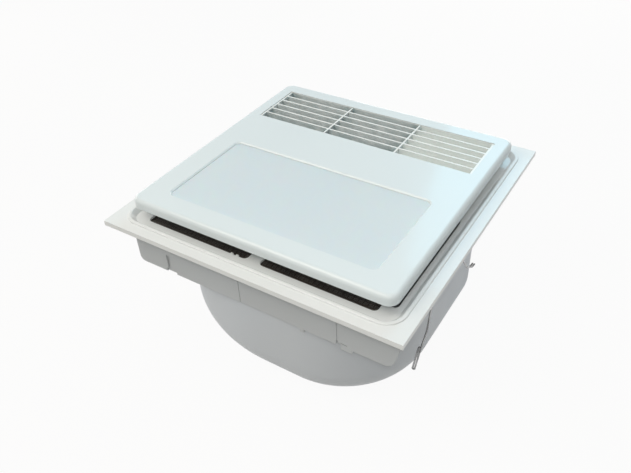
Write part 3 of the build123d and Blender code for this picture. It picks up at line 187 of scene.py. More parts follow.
def lay_floor():
    mesh = bpy.data.meshes.new("studio_floor")
    h = FLOOR_HALF
    z = cad_low.z
    mesh.from_pydata([(-h, -h, z), (h, -h, z), (h, h, z), (-h, h, z)], [], [(0, 1, 2, 3)])
    floor = bpy.data.objects.new("studio_floor", mesh)
    scene.collection.objects.link(floor)
    material = bpy.data.materials.new("floor_paper")
    material.use_nodes = True
    tree = material.node_tree
    tree.nodes.clear()
    paper = tree.nodes.new("ShaderNodeBsdfDiffuse")
    paper.inputs["Color"].default_value = FLOOR_PAPER
    white = tree.nodes.new("ShaderNodeEmission")
    white.inputs["Strength"].default_value = 1.0
    share = tree.nodes.new("ShaderNodeMath")
    share.operation = "MULTIPLY"
    share.inputs[1].default_value = FLOOR_WHITE_SHARE
    mix = tree.nodes.new("ShaderNodeMixShader")
    out = tree.nodes.new("ShaderNodeOutputMaterial")
    tree.links.new(seen_directly(tree), share.inputs[0])
    tree.links.new(share.outputs[0], mix.inputs["Fac"])
    tree.links.new(paper.outputs[0], mix.inputs[1])
    tree.links.new(white.outputs[0], mix.inputs[2])
    tree.links.new(mix.outputs[0], out.inputs["Surface"])
    mesh.materials.append(material)
    return floor


light_world()
floor = lay_floor()
face_centre = (0.0, 0.0, cad_high.z)
for name, settings in LAMPS.items():
    area_lamp(name, face_centre, *settings)
scene.view_settings.view_transform = "Standard"

# %% [markdown]
# ## Effects that several materials share
# A real surface is never one even colour. Each effect below is a small network of shader nodes with named inputs,
# made once, and every material then places it with its own values. They all read the object's own coordinates,
# in metres, so the detail keeps its real size and stays in place when a piece moves.

# %% Helpers for shader networks
def new_group(name, inputs, outputs):
    """A node group with named sockets, given as (name, kind, value) and (name, kind)."""
    tree = bpy.data.node_groups.new(name, "ShaderNodeTree")
    for title, kind, value in inputs:
        socket = tree.interface.new_socket(title, in_out="INPUT", socket_type="NodeSocket" + kind)
        socket.default_value = value
    for title, kind in outputs:
        tree.interface.new_socket(title, in_out="OUTPUT", socket_type="NodeSocket" + kind)
    return tree, tree.nodes.new("NodeGroupInput"), tree.nodes.new("NodeGroupOutput")


def add(tree, kind, links=(), **settings):
    """A node of that kind. links are (socket of another node, input name or number)."""
    node = tree.nodes.new("ShaderNode" + kind)
    for name, value in settings.items():
        if hasattr(node, name):
            setattr(node, name, value)
        else:
            node.inputs[name.replace("_", " ").title()].default_value = value
    for source, target in links:
        tree.links.new(source, node.inputs[target])
    return node


def local_place(tree, stretch=None):
    """The object's own coordinates in metres, scaled by a vector socket or value where one is given."""
    place = add(tree, "TexCoord").outputs["Object"]
    if stretch is None:
        return place
    scaled = add(tree, "VectorMath", [(place, 0)], operation="MULTIPLY")
    if isinstance(stretch, tuple):
        scaled.inputs[1].default_value = stretch
    else:
        tree.links.new(stretch, scaled.inputs[1])
    return scaled.outputs[0]


def soft_range(tree, value, low, high, to_low=0.0, to_high=1.0):
    """Maps a value from low..high to another range, smoothly and clamped."""
    node = add(tree, "MapRange", [(value, "Value")], interpolation_type="SMOOTHSTEP")
    for name, number in zip(("From Min", "From Max", "To Min", "To Max"), (low, high, to_low, to_high)):
        node.inputs[name].default_value = number
    return node.outputs["Result"]


def blend_colour(tree, share, first, second):
    """Mixes two colour sockets by a share from 0 to 1."""
    node = add(tree, "Mix", data_type="RGBA")
    tree.links.new(share, node.inputs[0])
    tree.links.new(first, node.inputs[6])
    tree.links.new(second, node.inputs[7])
    return node.outputs[2]


def product(tree, first, second):
    return add(tree, "Math", [(first, 0), (second, 1)], operation="MULTIPLY").outputs[0]


print("helpers are ready")

# %% [markdown]
# ### Colour drift
# Moulded plastic and painted sheet vary a little in tone over hand-wide patches, and more finely in specks.
# An image of a plastic sheet could give that, but two layers of noise do it at any size and need no file.

# %% Colour drift
def make_tone_drift():
    tree, given, made = new_group(
        "tone_drift",
        [("Colour", "Color", (0.8, 0.8, 0.8, 1)), ("Other Colour", "Color", (0.7, 0.7, 0.7, 1)),
         ("Patches per Metre", "Float", 8.0), ("Specks per Metre", "Float", 900.0),
         ("Patch Share", "Float", 0.3), ("Speck Share", "Float", 0.1)],
        [("Colour", "Color"), ("Share", "Float")])
    place = local_place(tree)
    patch = add(tree, "TexNoise", [(place, "Vector"), (given.outputs["Patches per Metre"], "Scale")],
                detail=1.0, roughness=0.4)
    speck = add(tree, "TexNoise", [(place, "Vector"), (given.outputs["Specks per Metre"], "Scale")],
                detail=2.0, roughness=0.5)
    wide = product(tree, soft_range(tree, patch.outputs[0], 0.35, 0.65), given.outputs["Patch Share"])
    fine = product(tree, soft_range(tree, speck.outputs[0], 0.40, 0.75), given.outputs["Speck Share"])
    total = add(tree, "Math", [(wide, 0), (fine, 1)], operation="ADD", use_clamp=True).outputs[0]
    colour = blend_colour(tree, total, given.outputs["Colour"], given.outputs["Other Colour"])
    tree.links.new(colour, made.inputs["Colour"])
    tree.links.new(total, made.inputs["Share"])
    return tree


tone_drift = make_tone_drift()
print("group", tone_drift.name)

# %% [markdown]
# ### Moulded grain
# A plastic part carries the texture of its mould: a fine spark grain on hidden parts and almost none on the face.
# It also has shallow waves where the wall sank as it cooled. Real dents would need millions of faces, so both are
# a height for a Bump node. The same network makes the roughness uneven, which breaks up a plain highlight.

# %% Moulded grain
def make_moulded_grain():
    tree, given, made = new_group(
        "moulded_grain",
        [("Grains per Metre", "Float", 1500.0), ("Grain Share", "Float", 0.5),
         ("Waves per Metre", "Float", 14.0), ("Wave Share", "Float", 0.5),
         ("Roughness", "Float", 0.4), ("Roughness Spread", "Float", 0.1)],
        [("Height", "Float"), ("Roughness", "Float")])
    place = local_place(tree)
    grain = add(tree, "TexNoise", [(place, "Vector"), (given.outputs["Grains per Metre"], "Scale")], detail=2.0)
    waves = add(tree, "TexNoise", [(place, "Vector"), (given.outputs["Waves per Metre"], "Scale")], detail=1.0)
    small = product(tree, grain.outputs[0], given.outputs["Grain Share"])
    large = product(tree, waves.outputs[0], given.outputs["Wave Share"])
    height = add(tree, "Math", [(small, 0), (large, 1)], operation="ADD").outputs[0]
    smear = add(tree, "TexNoise", [(place, "Vector")], scale=35.0, detail=4.0)
    centred = add(tree, "Math", [(smear.outputs[0], 0)], operation="SUBTRACT")
    centred.inputs[1].default_value = 0.5
    spread = product(tree, centred.outputs[0], given.outputs["Roughness Spread"])
    rough = add(tree, "Math", [(given.outputs["Roughness"], 0), (spread, 1)], operation="ADD", use_clamp=True)
    tree.links.new(height, made.inputs["Height"])
    tree.links.new(rough.outputs[0], made.inputs["Roughness"])
    return tree


moulded_grain = make_moulded_grain()
print("group", moulded_grain.name)

# %% [markdown]
# ### Soft edges and worn edges
# No real edge is a perfect corner: it is broken by a small radius that catches the light, and it wears first.
# A bevel on every mesh would change the pieces, so the Bevel node bends only the shading near an edge. Where its
# normal leaves the true one there is an edge, and that gives the mask for wear as well.

# %% Soft edges
def make_soft_edges():
    tree, given, made = new_group(
        "soft_edges", [("Radius", "Float", 0.0004), ("Wear Start", "Float", 0.02)],
        [("Normal", "Vector"), ("Edge", "Float")])
    bevel = add(tree, "Bevel", [(given.outputs["Radius"], "Radius")], samples=4)
    true_normal = add(tree, "NewGeometry").outputs["True Normal"]
    alike = add(tree, "VectorMath", [(bevel.outputs[0], 0), (true_normal, 1)], operation="DOT_PRODUCT")
    apart = add(tree, "Math", [(alike.outputs["Value"], 1)], operation="SUBTRACT")
    apart.inputs[0].default_value = 1.0
    edge = add(tree, "MapRange", [(apart.outputs[0], "Value"), (given.outputs["Wear Start"], "From Min")])
    edge.inputs["From Max"].default_value = 0.3
    tree.links.new(bevel.outputs[0], made.inputs["Normal"])
    tree.links.new(edge.outputs["Result"], made.inputs["Edge"])
    return tree


soft_edges = make_soft_edges()
print("group", soft_edges.name)

# %% [markdown]
# ### Dust and painted shade in the creases
# Even a clean heater has a little grey where a cloth can't reach: at the foot of the bead, under the face and in
# the slots. Some finishes turn the same tint into painted shade and light: between the grille's slats, round the
# cover's window and edges, and under the skirt. The Ambient Occlusion node finds such places by how much of the sky
# a point sees, whatever the mesh, and a patchy noise keeps the line from being even.

# %% Crease dust and painted shade
def make_crease_dust_and_shade():
    tree, given, made = new_group(
        "crease_dust_and_shade",
        [("Colour", "Color", (0.8, 0.8, 0.8, 1)), ("Dust Colour", "Color", (0.45, 0.43, 0.40, 1)),
         ("Reach", "Float", 0.008), ("Amount", "Float", 0.3)],
        [("Colour", "Color"), ("Dust", "Float")])
    shade = add(tree, "AmbientOcclusion", [(given.outputs["Reach"], "Distance")], samples=4)
    hidden = soft_range(tree, shade.outputs["AO"], 0.35, 0.85, 1.0, 0.0)
    patches = add(tree, "TexNoise", [(local_place(tree), "Vector")], scale=60.0, detail=4.0)
    uneven = soft_range(tree, patches.outputs[0], 0.3, 0.6, 0.35, 1.0)
    dust = product(tree, product(tree, hidden, uneven), given.outputs["Amount"])
    colour = blend_colour(tree, dust, given.outputs["Colour"], given.outputs["Dust Colour"])
    tree.links.new(colour, made.inputs["Colour"])
    tree.links.new(dust, made.inputs["Dust"])
    return tree


crease_dust_and_shade = make_crease_dust_and_shade()
print("group", crease_dust_and_shade.name)

# %% [markdown]
# ### Drawn lines
# Rolled sheet, ground steel and drawn wire all carry fine parallel lines. A noise that is squeezed many times more
# across the lines than along them gives just that, and each metal chooses its own direction.

# %% Drawn lines
def make_drawn_lines():
    tree, given, made = new_group(
        "drawn_lines",
        [("Lines per Metre", "Vector", (3000.0, 60.0, 3000.0)), ("Roughness", "Float", 0.35),
         ("Roughness Spread", "Float", 0.2)],
        [("Height", "Float"), ("Roughness", "Float")])
    place = local_place(tree, given.outputs["Lines per Metre"])
    lines = add(tree, "TexNoise", [(place, "Vector")], scale=1.0, detail=3.0)
    centred = add(tree, "Math", [(lines.outputs[0], 0)], operation="SUBTRACT")
    centred.inputs[1].default_value = 0.5
    spread = product(tree, centred.outputs[0], given.outputs["Roughness Spread"])
    rough = add(tree, "Math", [(given.outputs["Roughness"], 0), (spread, 1)], operation="ADD", use_clamp=True)
    tree.links.new(lines.outputs[0], made.inputs["Height"])
    tree.links.new(rough.outputs[0], made.inputs["Roughness"])
    return tree


drawn_lines = make_drawn_lines()
print("group", drawn_lines.name)

# %% [markdown]
# ### Zinc spangle
# Hot dipped zinc freezes in flat crystals, each with its own grey and its own gloss. Voronoi cells have that
# shape: one random value for each cell sets the tone and the roughness, and noise softens the cell borders.

# %% Zinc spangle
def make_zinc_spangle():
    tree, given, made = new_group(
        "zinc_spangle",
        [("Crystals per Metre", "Float", 130.0), ("Light Colour", "Color", (0.66, 0.68, 0.69, 1)),
         ("Dark Colour", "Color", (0.44, 0.46, 0.48, 1)), ("Roughness", "Float", 0.42)],
        [("Colour", "Color"), ("Roughness", "Float"), ("Height", "Float")])
    place = local_place(tree)
    warp = add(tree, "TexNoise", [(place, "Vector")], scale=180.0, detail=2.0)
    bent = add(tree, "VectorMath", [(warp.outputs["Color"], 0), (place, 2)], operation="MULTIPLY_ADD")
    bent.inputs[1].default_value = (0.006, 0.006, 0.006)
    cells = add(tree, "TexVoronoi", [(bent.outputs[0], "Vector"), (given.outputs["Crystals per Metre"], "Scale")])
    one_each = add(tree, "SeparateColor", [(cells.outputs["Color"], 0)]).outputs[0]
    colour = blend_colour(tree, one_each, given.outputs["Light Colour"], given.outputs["Dark Colour"])
    shift = soft_range(tree, one_each, 0.0, 1.0, -0.05, 0.05)
    rough = add(tree, "Math", [(given.outputs["Roughness"], 0), (shift, 1)], operation="ADD", use_clamp=True)
    tree.links.new(colour, made.inputs["Colour"])
    tree.links.new(rough.outputs[0], made.inputs["Roughness"])
    tree.links.new(one_each, made.inputs["Height"])
    return tree


zinc_spangle = make_zinc_spangle()
print("group", zinc_spangle.name)

# %% [markdown]
# ## Finishes
# A finish is one material with one Principled shader. Its colour, roughness and normal come from the effects above,
# and what is the same all over, such as the coat or the IOR, is set on the shader itself. Two builders cover most
# pieces, one for plastics and one for metals, and each finish is then a single call with its own values.

# %% Start a finish and place effects in it
def start_finish(name, metallic=0.0, **fixed):
    material = bpy.data.materials.new(name)
    material.use_nodes = True
    tree = material.node_tree
    tree.nodes.clear()
    shader = add(tree, "BsdfPrincipled")
    shader.inputs["Metallic"].default_value = metallic
    for title, value in fixed.items():
        shader.inputs[title.replace("_", " ").title().replace("Ior", "IOR")].default_value = value
    out = add(tree, "OutputMaterial")
    tree.links.new(shader.outputs[0], out.inputs["Surface"])
    return material, tree, shader


def effect(tree, group, links=(), **values):
    """Places a node group. values are its inputs, with underscores for spaces."""
    node = tree.nodes.new("ShaderNodeGroup")
    node.node_tree = group
    titles = {title.lower().replace(" ", "_"): title for title in node.inputs.keys()}
    for name, value in values.items():
        node.inputs[titles[name]].default_value = value
    for source, title in links:
        tree.links.new(source, node.inputs[title])
    return node


def lay_bump(tree, shader, height, depth, normal=None):
    """depth is how deep the height's full range goes, in metres."""
    bump = add(tree, "Bump", [(height, "Height")])
    bump.inputs["Strength"].default_value = 1.0
    bump.inputs["Distance"].default_value = depth
    if normal is not None:
        tree.links.new(normal, bump.inputs["Normal"])
    tree.links.new(bump.outputs[0], shader.inputs["Normal"])
    return bump


def rgb(red, green, blue):
    return (red, green, blue, 1.0)


def plastic_finish(name, colour, other, roughness, grain=(1500.0, 0.5), waves=(14.0, 0.5), depth=0.00002,
                   spread=0.12, patches=(7.0, 0.35), specks=0.1, dust=0.25, dust_reach=0.008,
                   dust_colour=rgb(0.45, 0.43, 0.40), edge_radius=0.0004, **fixed):
    material, tree, shader = start_finish(name, **fixed)
    tone = effect(tree, tone_drift, colour=colour, other_colour=other, patches_per_metre=patches[0],
                  patch_share=patches[1], speck_share=specks)
    crease = effect(tree, crease_dust_and_shade, [(tone.outputs["Colour"], "Colour")], dust_colour=dust_colour,
                    reach=dust_reach, amount=dust)
    surface = effect(tree, moulded_grain, grains_per_metre=grain[0], grain_share=grain[1],
                     waves_per_metre=waves[0], wave_share=waves[1], roughness=roughness, roughness_spread=spread)
    edges = effect(tree, soft_edges, radius=edge_radius)
    tree.links.new(crease.outputs["Colour"], shader.inputs["Base Color"])
    tree.links.new(surface.outputs["Roughness"], shader.inputs["Roughness"])
    lay_bump(tree, shader, surface.outputs["Height"], depth, edges.outputs["Normal"])
    return material


def metal_finish(name, colour, other, roughness, lines=(3000.0, 60.0, 3000.0), depth=0.00001, spread=0.25,
                 patches=(20.0, 0.4), edge_colour=None, dust=0.2, edge_radius=0.0002, metallic=1.0, **fixed):
    material, tree, shader = start_finish(name, metallic=metallic, **fixed)
    tone = effect(tree, tone_drift, colour=colour, other_colour=other, patches_per_metre=patches[0],
                  patch_share=patches[1], speck_share=0.15)
    edges = effect(tree, soft_edges, radius=edge_radius)
    shown = tone.outputs["Colour"]
    if edge_colour is not None:
        bright = add(tree, "RGB")
        bright.outputs[0].default_value = edge_colour
        shown = blend_colour(tree, edges.outputs["Edge"], shown, bright.outputs[0])
    crease = effect(tree, crease_dust_and_shade, [(shown, "Colour")], reach=0.004, amount=dust)
    drawn = effect(tree, drawn_lines, lines_per_metre=lines, roughness=roughness, roughness_spread=spread)
    tree.links.new(crease.outputs["Colour"], shader.inputs["Base Color"])
    tree.links.new(drawn.outputs["Roughness"], shader.inputs["Roughness"])
    lay_bump(tree, shader, drawn.outputs["Height"], depth, edges.outputs["Normal"])
    return material


def dress(material, *names):
    """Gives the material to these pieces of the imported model."""
    for name in names:
        for slot in nodes[name].material_slots:
            slot.material = material
    print(material.name, "on", len(names), "piece" if len(names) == 1 else "pieces")


# %% [markdown]
# ### The face: gloss white plastic
# The cover plate and its hinge arms are glossy plastic, a white with a breath of blue. The grille and the frame come
# from other moulds and are a little lighter and less blue. All have a smooth mould, so the grain is nearly nothing
# and the waves do the work: they bend the reflection of the lamps the way a pressed panel does. The grille's blank
# bay is closed, and in its two open bays the crease tint paints a dark grey-green shade on the walls between the
# slats.
# On the cover the same tint is a beige of painted warm light and shade round the window and the edges. An extra
# mask could paint the grille's shade, but the crease tint already knows the deep places and only needs an amount by
# bay.

# %% Finish the face
BAY_SHADE_BORDER_SOFT = 1.0 * MM


def paint_bay_shade(material, border_x, open_amount, closed_amount):
    """Gives the crease tint, here a painted shade, one amount left of the border, in metres, and another right of
    it.
    """
    tree = material.node_tree
    crease = next(n for n in tree.nodes if n.type == "GROUP" and n.node_tree == crease_dust_and_shade)
    x = add(tree, "SeparateXYZ", [(local_place(tree), 0)]).outputs["X"]
    ends = (border_x - BAY_SHADE_BORDER_SOFT, border_x + BAY_SHADE_BORDER_SOFT)
    amount = soft_range(tree, x, *ends, open_amount, closed_amount)
    tree.links.new(amount, crease.inputs["Amount"])


# On the cover the beige crease tint is painted light and shade: warm light on the far wall of the window's rim, and
# shade on the edges over the intake gap.
cover_gloss = plastic_finish("cover_gloss", rgb(0.75, 0.83, 0.85), rgb(0.72, 0.80, 0.82), 0.37,
                             grain=(2500.0, 0.10), waves=(9.0, 0.85), depth=0.00006, spread=0.06,
                             coat_weight=0.5, coat_roughness=0.10,
                             specks=0.0, dust=0.9, dust_reach=0.005, dust_colour=rgb(0.58, 0.53, 0.45),
                             edge_radius=0.0006, IOR=1.49)
# The grille's crease colour is a painted shade: the dark grey-green where the slats shade each other.
grille_gloss = plastic_finish("grille_gloss", rgb(0.90, 0.93, 0.92), rgb(0.86, 0.89, 0.87), 0.37,
                              grain=(2500.0, 0.10), waves=(9.0, 0.85), depth=0.00003, spread=0.06,
                              specks=0.0, dust_reach=0.022, dust_colour=rgb(0.04, 0.17, 0.19),
                              coat_weight=0.3, coat_roughness=0.12, edge_radius=0.0004, IOR=1.49)
frame_gloss = plastic_finish("frame_gloss", rgb(0.83, 0.86, 0.86), rgb(0.80, 0.84, 0.83), 0.38,
                             grain=(2500.0, 0.10), waves=(9.0, 0.85), depth=0.00006, spread=0.06,
                             coat_weight=0.5, coat_roughness=0.10,
                             specks=0.0, dust=0.12, dust_reach=0.003, dust_colour=rgb(0.56, 0.53, 0.47),
                             edge_radius=0.0006, IOR=1.49)
dress(cover_gloss, "cover_plate", "hinge_arms")
# Painted shade between the slats: strong in the open bays, left of the blank plate, and weak over it.
paint_bay_shade(grille_gloss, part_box("blank_plate")[0].x, 0.75, 0.10)
dress(grille_gloss, "grille_insert")
dress(frame_gloss, "face_frame")

# %% [markdown]
# ### The housing: satin plastic
# The tray, the skirt, the fan scroll and the duct spigot are moulded in a plain off-white with a fine spark grain.
# Large mouldings sink a little between their ribs, so the waves are wider and deeper here than on the face.

# %% Finish the housing
housing_satin = plastic_finish("housing_satin", rgb(0.57, 0.61, 0.635), rgb(0.545, 0.575, 0.59), 0.44,
                               grain=(1400.0, 0.45), waves=(7.0, 0.9), depth=0.00009, spread=0.14,
                               patches=(5.0, 0.5), specks=0.06, dust=0.30, edge_radius=0.0006)
# On the scroll the dark crease tint is a painted shade: the thin shadow line where the drum meets the skirt's bottom
# edge.
scroll_satin = plastic_finish("scroll_satin", rgb(0.65, 0.705, 0.76), rgb(0.61, 0.65, 0.685), 0.40,
                              grain=(1400.0, 0.35), waves=(5.0, 1.0), depth=0.00012, spread=0.14,
                              patches=(4.0, 0.6), specks=0.06, dust=0.75, dust_reach=0.006,
                              dust_colour=rgb(0.22, 0.20, 0.18), edge_radius=0.0006)
dress(housing_satin, "base_tray", "front_skirt", "duct_spigot")
dress(scroll_satin, "scroll_housing")

# %% [markdown]
# ### The light window
# The window is a sheet of opal acrylic, pressed with a fine prism pattern on its lower side. Lit from outside it
# looks pale blue and a little deeper than the plate round it. Real scattering inside the sheet would cost much
# render time for two millimetres, so a small subsurface share over a pale blue does it, with a fine even dimple.

# %% Finish the light window
def opal_finish():
    material, tree, shader = start_finish("opal_window", subsurface_weight=0.25, subsurface_scale=0.004, IOR=1.49)
    tone = effect(tree, tone_drift, colour=rgb(0.68, 0.77, 0.81), other_colour=rgb(0.70, 0.78, 0.80),
                  patches_per_metre=5.0, patch_share=0.6, speck_share=0.0)
    crease = effect(tree, crease_dust_and_shade, [(tone.outputs["Colour"], "Colour")], reach=0.004, amount=0.25)
    surface = effect(tree, moulded_grain, grains_per_metre=600.0, grain_share=0.5, waves_per_metre=6.0,
                     wave_share=0.5, roughness=0.40, roughness_spread=0.10)
    edges = effect(tree, soft_edges, radius=0.0004)
    tree.links.new(crease.outputs["Colour"], shader.inputs["Base Color"])
    tree.links.new(surface.outputs["Roughness"], shader.inputs["Roughness"])
    lay_bump(tree, shader, surface.outputs["Height"], 0.00004, edges.outputs["Normal"])
    return material


opal_window = opal_finish()
dress(opal_window, "light_diffuser")

# %% [markdown]
# ### Small plastics and rubber
# The filters, the gland and the small cases are nylon or ABS in black and grey. Dark plastic shows dust first, so
# these have more of it. Rubber has no gloss at all and carries a bloom of pale powder.

# %% Finish the small plastics
filter_nylon = plastic_finish("filter_nylon", rgb(0.026, 0.023, 0.020), rgb(0.045, 0.038, 0.031), 0.6,
                              grain=(2500.0, 0.7), patches=(25.0, 0.6), specks=0.4, dust=0.15,
                              edge_radius=0.0002)
black_case = plastic_finish("black_case", rgb(0.030, 0.030, 0.032), rgb(0.05, 0.05, 0.05), 0.45,
                            grain=(1800.0, 0.8), patches=(30.0, 0.4), specks=0.3, dust=0.45)
grey_case = plastic_finish("grey_case", rgb(0.36, 0.37, 0.38), rgb(0.30, 0.31, 0.31), 0.42,
                           grain=(1800.0, 0.6), patches=(30.0, 0.4), specks=0.15, dust=0.4)
blank_sheet = plastic_finish("blank_sheet", rgb(0.56, 0.60, 0.53), rgb(0.52, 0.55, 0.47), 0.55,
                             grain=(1200.0, 0.6), patches=(12.0, 0.5), specks=0.1, dust=0.35)
ferrite = plastic_finish("ferrite", rgb(0.045, 0.045, 0.048), rgb(0.08, 0.08, 0.085), 0.5,
                         grain=(3000.0, 1.0), patches=(60.0, 0.6), specks=0.4, dust=0.3)
mount_rubber = plastic_finish("mount_rubber", rgb(0.020, 0.020, 0.020), rgb(0.06, 0.06, 0.06), 0.82,
                              grain=(900.0, 0.8), patches=(50.0, 0.5), specks=0.5, dust=0.4)
dress(filter_nylon, "intake_filter_left", "intake_filter_right")
dress(black_case, "damper_motor", "thermal_cutout", "cable_gland")
dress(grey_case, "terminal_block", "run_capacitor")
dress(blank_sheet, "blank_plate")
dress(ferrite, "catch_magnet")
dress(mount_rubber, "motor_mounts")

# %% [markdown]
# ### Woven gauze in the filters
# The black net that the eye sees in the intake slots is only the stiff grid of the filter. Under it lies a fine
# gauze that holds the dust back. A pattern with holes in the material would look alike from above, but it has no
# edge and no depth. So the threads are built: each runs straight in plan and goes over one cross thread and under
# the next, which takes one point at each crossing.

# %% Weave the gauze
THREAD_PITCH = 1.5 * MM
THREAD_HALF = 0.32 * MM
THREAD_SWING = 0.22 * MM
FILTER_RIM = 5.0 * MM
GRID_THICKNESS = 0.8 * MM


def add_thread(mesh, points, across):
    """One square thread through the points, with its sides along the vector across and along Z."""
    rings = []
    for point in points:
        corners = [across * a + Vector((0, 0, THREAD_HALF * b)) for a, b in ((-1, -1), (1, -1), (1, 1), (-1, 1))]
        rings.append([mesh.verts.new(point + corner) for corner in corners])
    for near, far in zip(rings, rings[1:]):
        for i in range(4):
            j = (i + 1) % 4
            mesh.faces.new((near[i], near[j], far[j], far[i]))
    mesh.faces.new(rings[0][::-1])
    mesh.faces.new(rings[-1])


def weave_gauze(name, node):
    low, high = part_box(node)
    middle_z = high.z - GRID_THICKNESS - THREAD_HALF - THREAD_SWING
    start = low + Vector((FILTER_RIM, FILTER_RIM, 0))
    spans = [high[i] - low[i] - 2 * FILTER_RIM for i in (0, 1)]
    counts = [round(span / THREAD_PITCH) for span in spans]
    mesh = bmesh.new()

    def crossing(i, j, over):
        swing = THREAD_SWING if (i + j + over) % 2 else -THREAD_SWING
        return Vector((start.x + spans[0] * i / counts[0], start.y + spans[1] * j / counts[1], middle_z + swing))

    for j in range(1, counts[1]):
        add_thread(mesh, [crossing(i, j, 0) for i in range(counts[0] + 1)], Vector((0, THREAD_HALF, 0)))
    for i in range(1, counts[0]):
        add_thread(mesh, [crossing(i, j, 1) for j in range(counts[1] + 1)], Vector((THREAD_HALF, 0, 0)))
    bmesh.ops.recalc_face_normals(mesh, faces=mesh.faces)
    data = bpy.data.meshes.new(name)
    mesh.to_mesh(data)
    mesh.free()
    piece = bpy.data.objects.new(name, data)
    scene.collection.objects.link(piece)
    data.materials.append(filter_nylon)
    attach(piece, "housing")
    print(name, "has", sum(counts) - 2, "threads and", len(data.polygons), "faces")
    return piece


for side in ("left", "right"):
    weave_gauze("filter_gauze_" + side, "intake_filter_" + side)

# %% [markdown]
# ### Zinc coated sheet
# Everything pressed from sheet is hot dipped steel: the ducts, the wiring box, the ears, the brackets and the
# blower wheel. It is not bright like chrome. The spangle gives each crystal its grey, and fine rolling lines lie
# over it. The cut edges show as a lighter line. Round the heating bars the sheet is a dark grey-green, a painted
# shade for the shade that lies behind the grille's slats.

# %% Finish the sheet metal
ZINC_METALLIC = 0.85


def zinc_finish(name, crystals, light, dark, roughness):
    material, tree, shader = start_finish(name, metallic=ZINC_METALLIC)
    zinc = effect(tree, zinc_spangle, crystals_per_metre=crystals, light_colour=light, dark_colour=dark,
                  roughness=roughness)
    edges = effect(tree, soft_edges, radius=0.0003)
    cut = add(tree, "RGB")
    cut.outputs[0].default_value = rgb(0.78, 0.79, 0.80)
    shown = blend_colour(tree, edges.outputs["Edge"], zinc.outputs["Colour"], cut.outputs[0])
    crease = effect(tree, crease_dust_and_shade, [(shown, "Colour")], reach=0.006, amount=0.3)
    tree.links.new(crease.outputs["Colour"], shader.inputs["Base Color"])
    tree.links.new(zinc.outputs["Roughness"], shader.inputs["Roughness"])
    lay_bump(tree, shader, zinc.outputs["Height"], 0.000008, edges.outputs["Normal"])
    return material


zinc_sheet = zinc_finish("zinc_sheet", 110.0, rgb(0.66, 0.68, 0.69), rgb(0.58, 0.60, 0.61), 0.42)
# Painted shade: the dark grey-green round the heating bars.
zinc_painted_shade = zinc_finish("zinc_painted_shade", 110.0, rgb(0.15, 0.22, 0.23), rgb(0.11, 0.16, 0.17), 0.5)
zinc_fine = zinc_finish("zinc_fine", 320.0, rgb(0.64, 0.66, 0.67), rgb(0.58, 0.60, 0.61), 0.40)
dress(zinc_sheet, "inlet_ring", "wiring_box", "wiring_box_lid", "light_tray", "motor_bracket")
dress(zinc_painted_shade, "heater_duct", "outlet_collar", "heater_frame")
dress(zinc_fine, "mounting_ears", "clip_brackets", "impeller", "damper_blade", "backdraft_flap")

# %% [markdown]
# ### Bright steel and spring wire
# Screws, pins and the shaft are turned, so their lines run round them; on so small a piece lines in all directions
# read the same. The clips are drawn wire: the lines follow the wire, and the bends are rubbed bright.

# %% Finish the steel
bright_steel = metal_finish("bright_steel", rgb(0.58, 0.58, 0.57), rgb(0.46, 0.46, 0.46), 0.30,
                            lines=(1800.0, 1800.0, 1800.0), edge_colour=rgb(0.80, 0.80, 0.79))
shaft_steel = metal_finish("shaft_steel", rgb(0.60, 0.60, 0.60), rgb(0.50, 0.50, 0.50), 0.22,
                           lines=(300.0, 300.0, 6000.0), edge_colour=rgb(0.82, 0.82, 0.82))
clip_wire = metal_finish("clip_wire", rgb(0.36, 0.36, 0.36), rgb(0.16, 0.16, 0.16), 0.24,
                         lines=(5000.0, 2500.0, 300.0), patches=(90.0, 0.7), dust=0.3)
dress(bright_steel, "scroll_screws", "frame_screws", "ear_screws", "spigot_screws", "damper_screw",
      "motor_screws", "lid_screws", "light_screws", "catch_plate", "heater_terminals", "impeller_nut")
dress(shaft_steel, "flap_pin", "damper_shaft", "motor_shaft", "motor_bearings", "clip_pins", "hinge_pins")
dress(clip_wire, "clip_front_right", "clip_back_right", "clip_front_left", "clip_back_left")

# %% [markdown]
# ### The motor
# The can is pressed steel with a black stove enamel that chips to bare metal at the edges. Inside, the rotor and
# the stator are stacks of half millimetre plates, so they show level lines, and the windings bulge out of the
# stator's two ends in lacquered copper. One solid stands for core and windings, so its height decides which of the
# two finishes a point gets: the plates in the middle, the copper above and below.

# %% Finish the motor
PLATE_THICKNESS = 0.0005
PLATE_STACK_SHARE = 0.56


def height_mask(tree, low, high, soft=0.0003):
    """One between the two heights, zero outside, in the object's own coordinates."""
    z = add(tree, "SeparateXYZ", [(local_place(tree), 0)]).outputs["Z"]
    rise = soft_range(tree, z, low - soft, low + soft)
    fall = soft_range(tree, z, high - soft, high + soft, 1.0, 0.0)
    return product(tree, rise, fall)


def stack_lines(tree):
    """A wave through the height of a stack of plates."""
    z = add(tree, "SeparateXYZ", [(local_place(tree), 0)]).outputs["Z"]
    turns = add(tree, "Math", [(z, 0)], operation="MULTIPLY")
    turns.inputs[1].default_value = math.tau / PLATE_THICKNESS
    return add(tree, "Math", [(turns.outputs[0], 0)], operation="SINE").outputs[0]


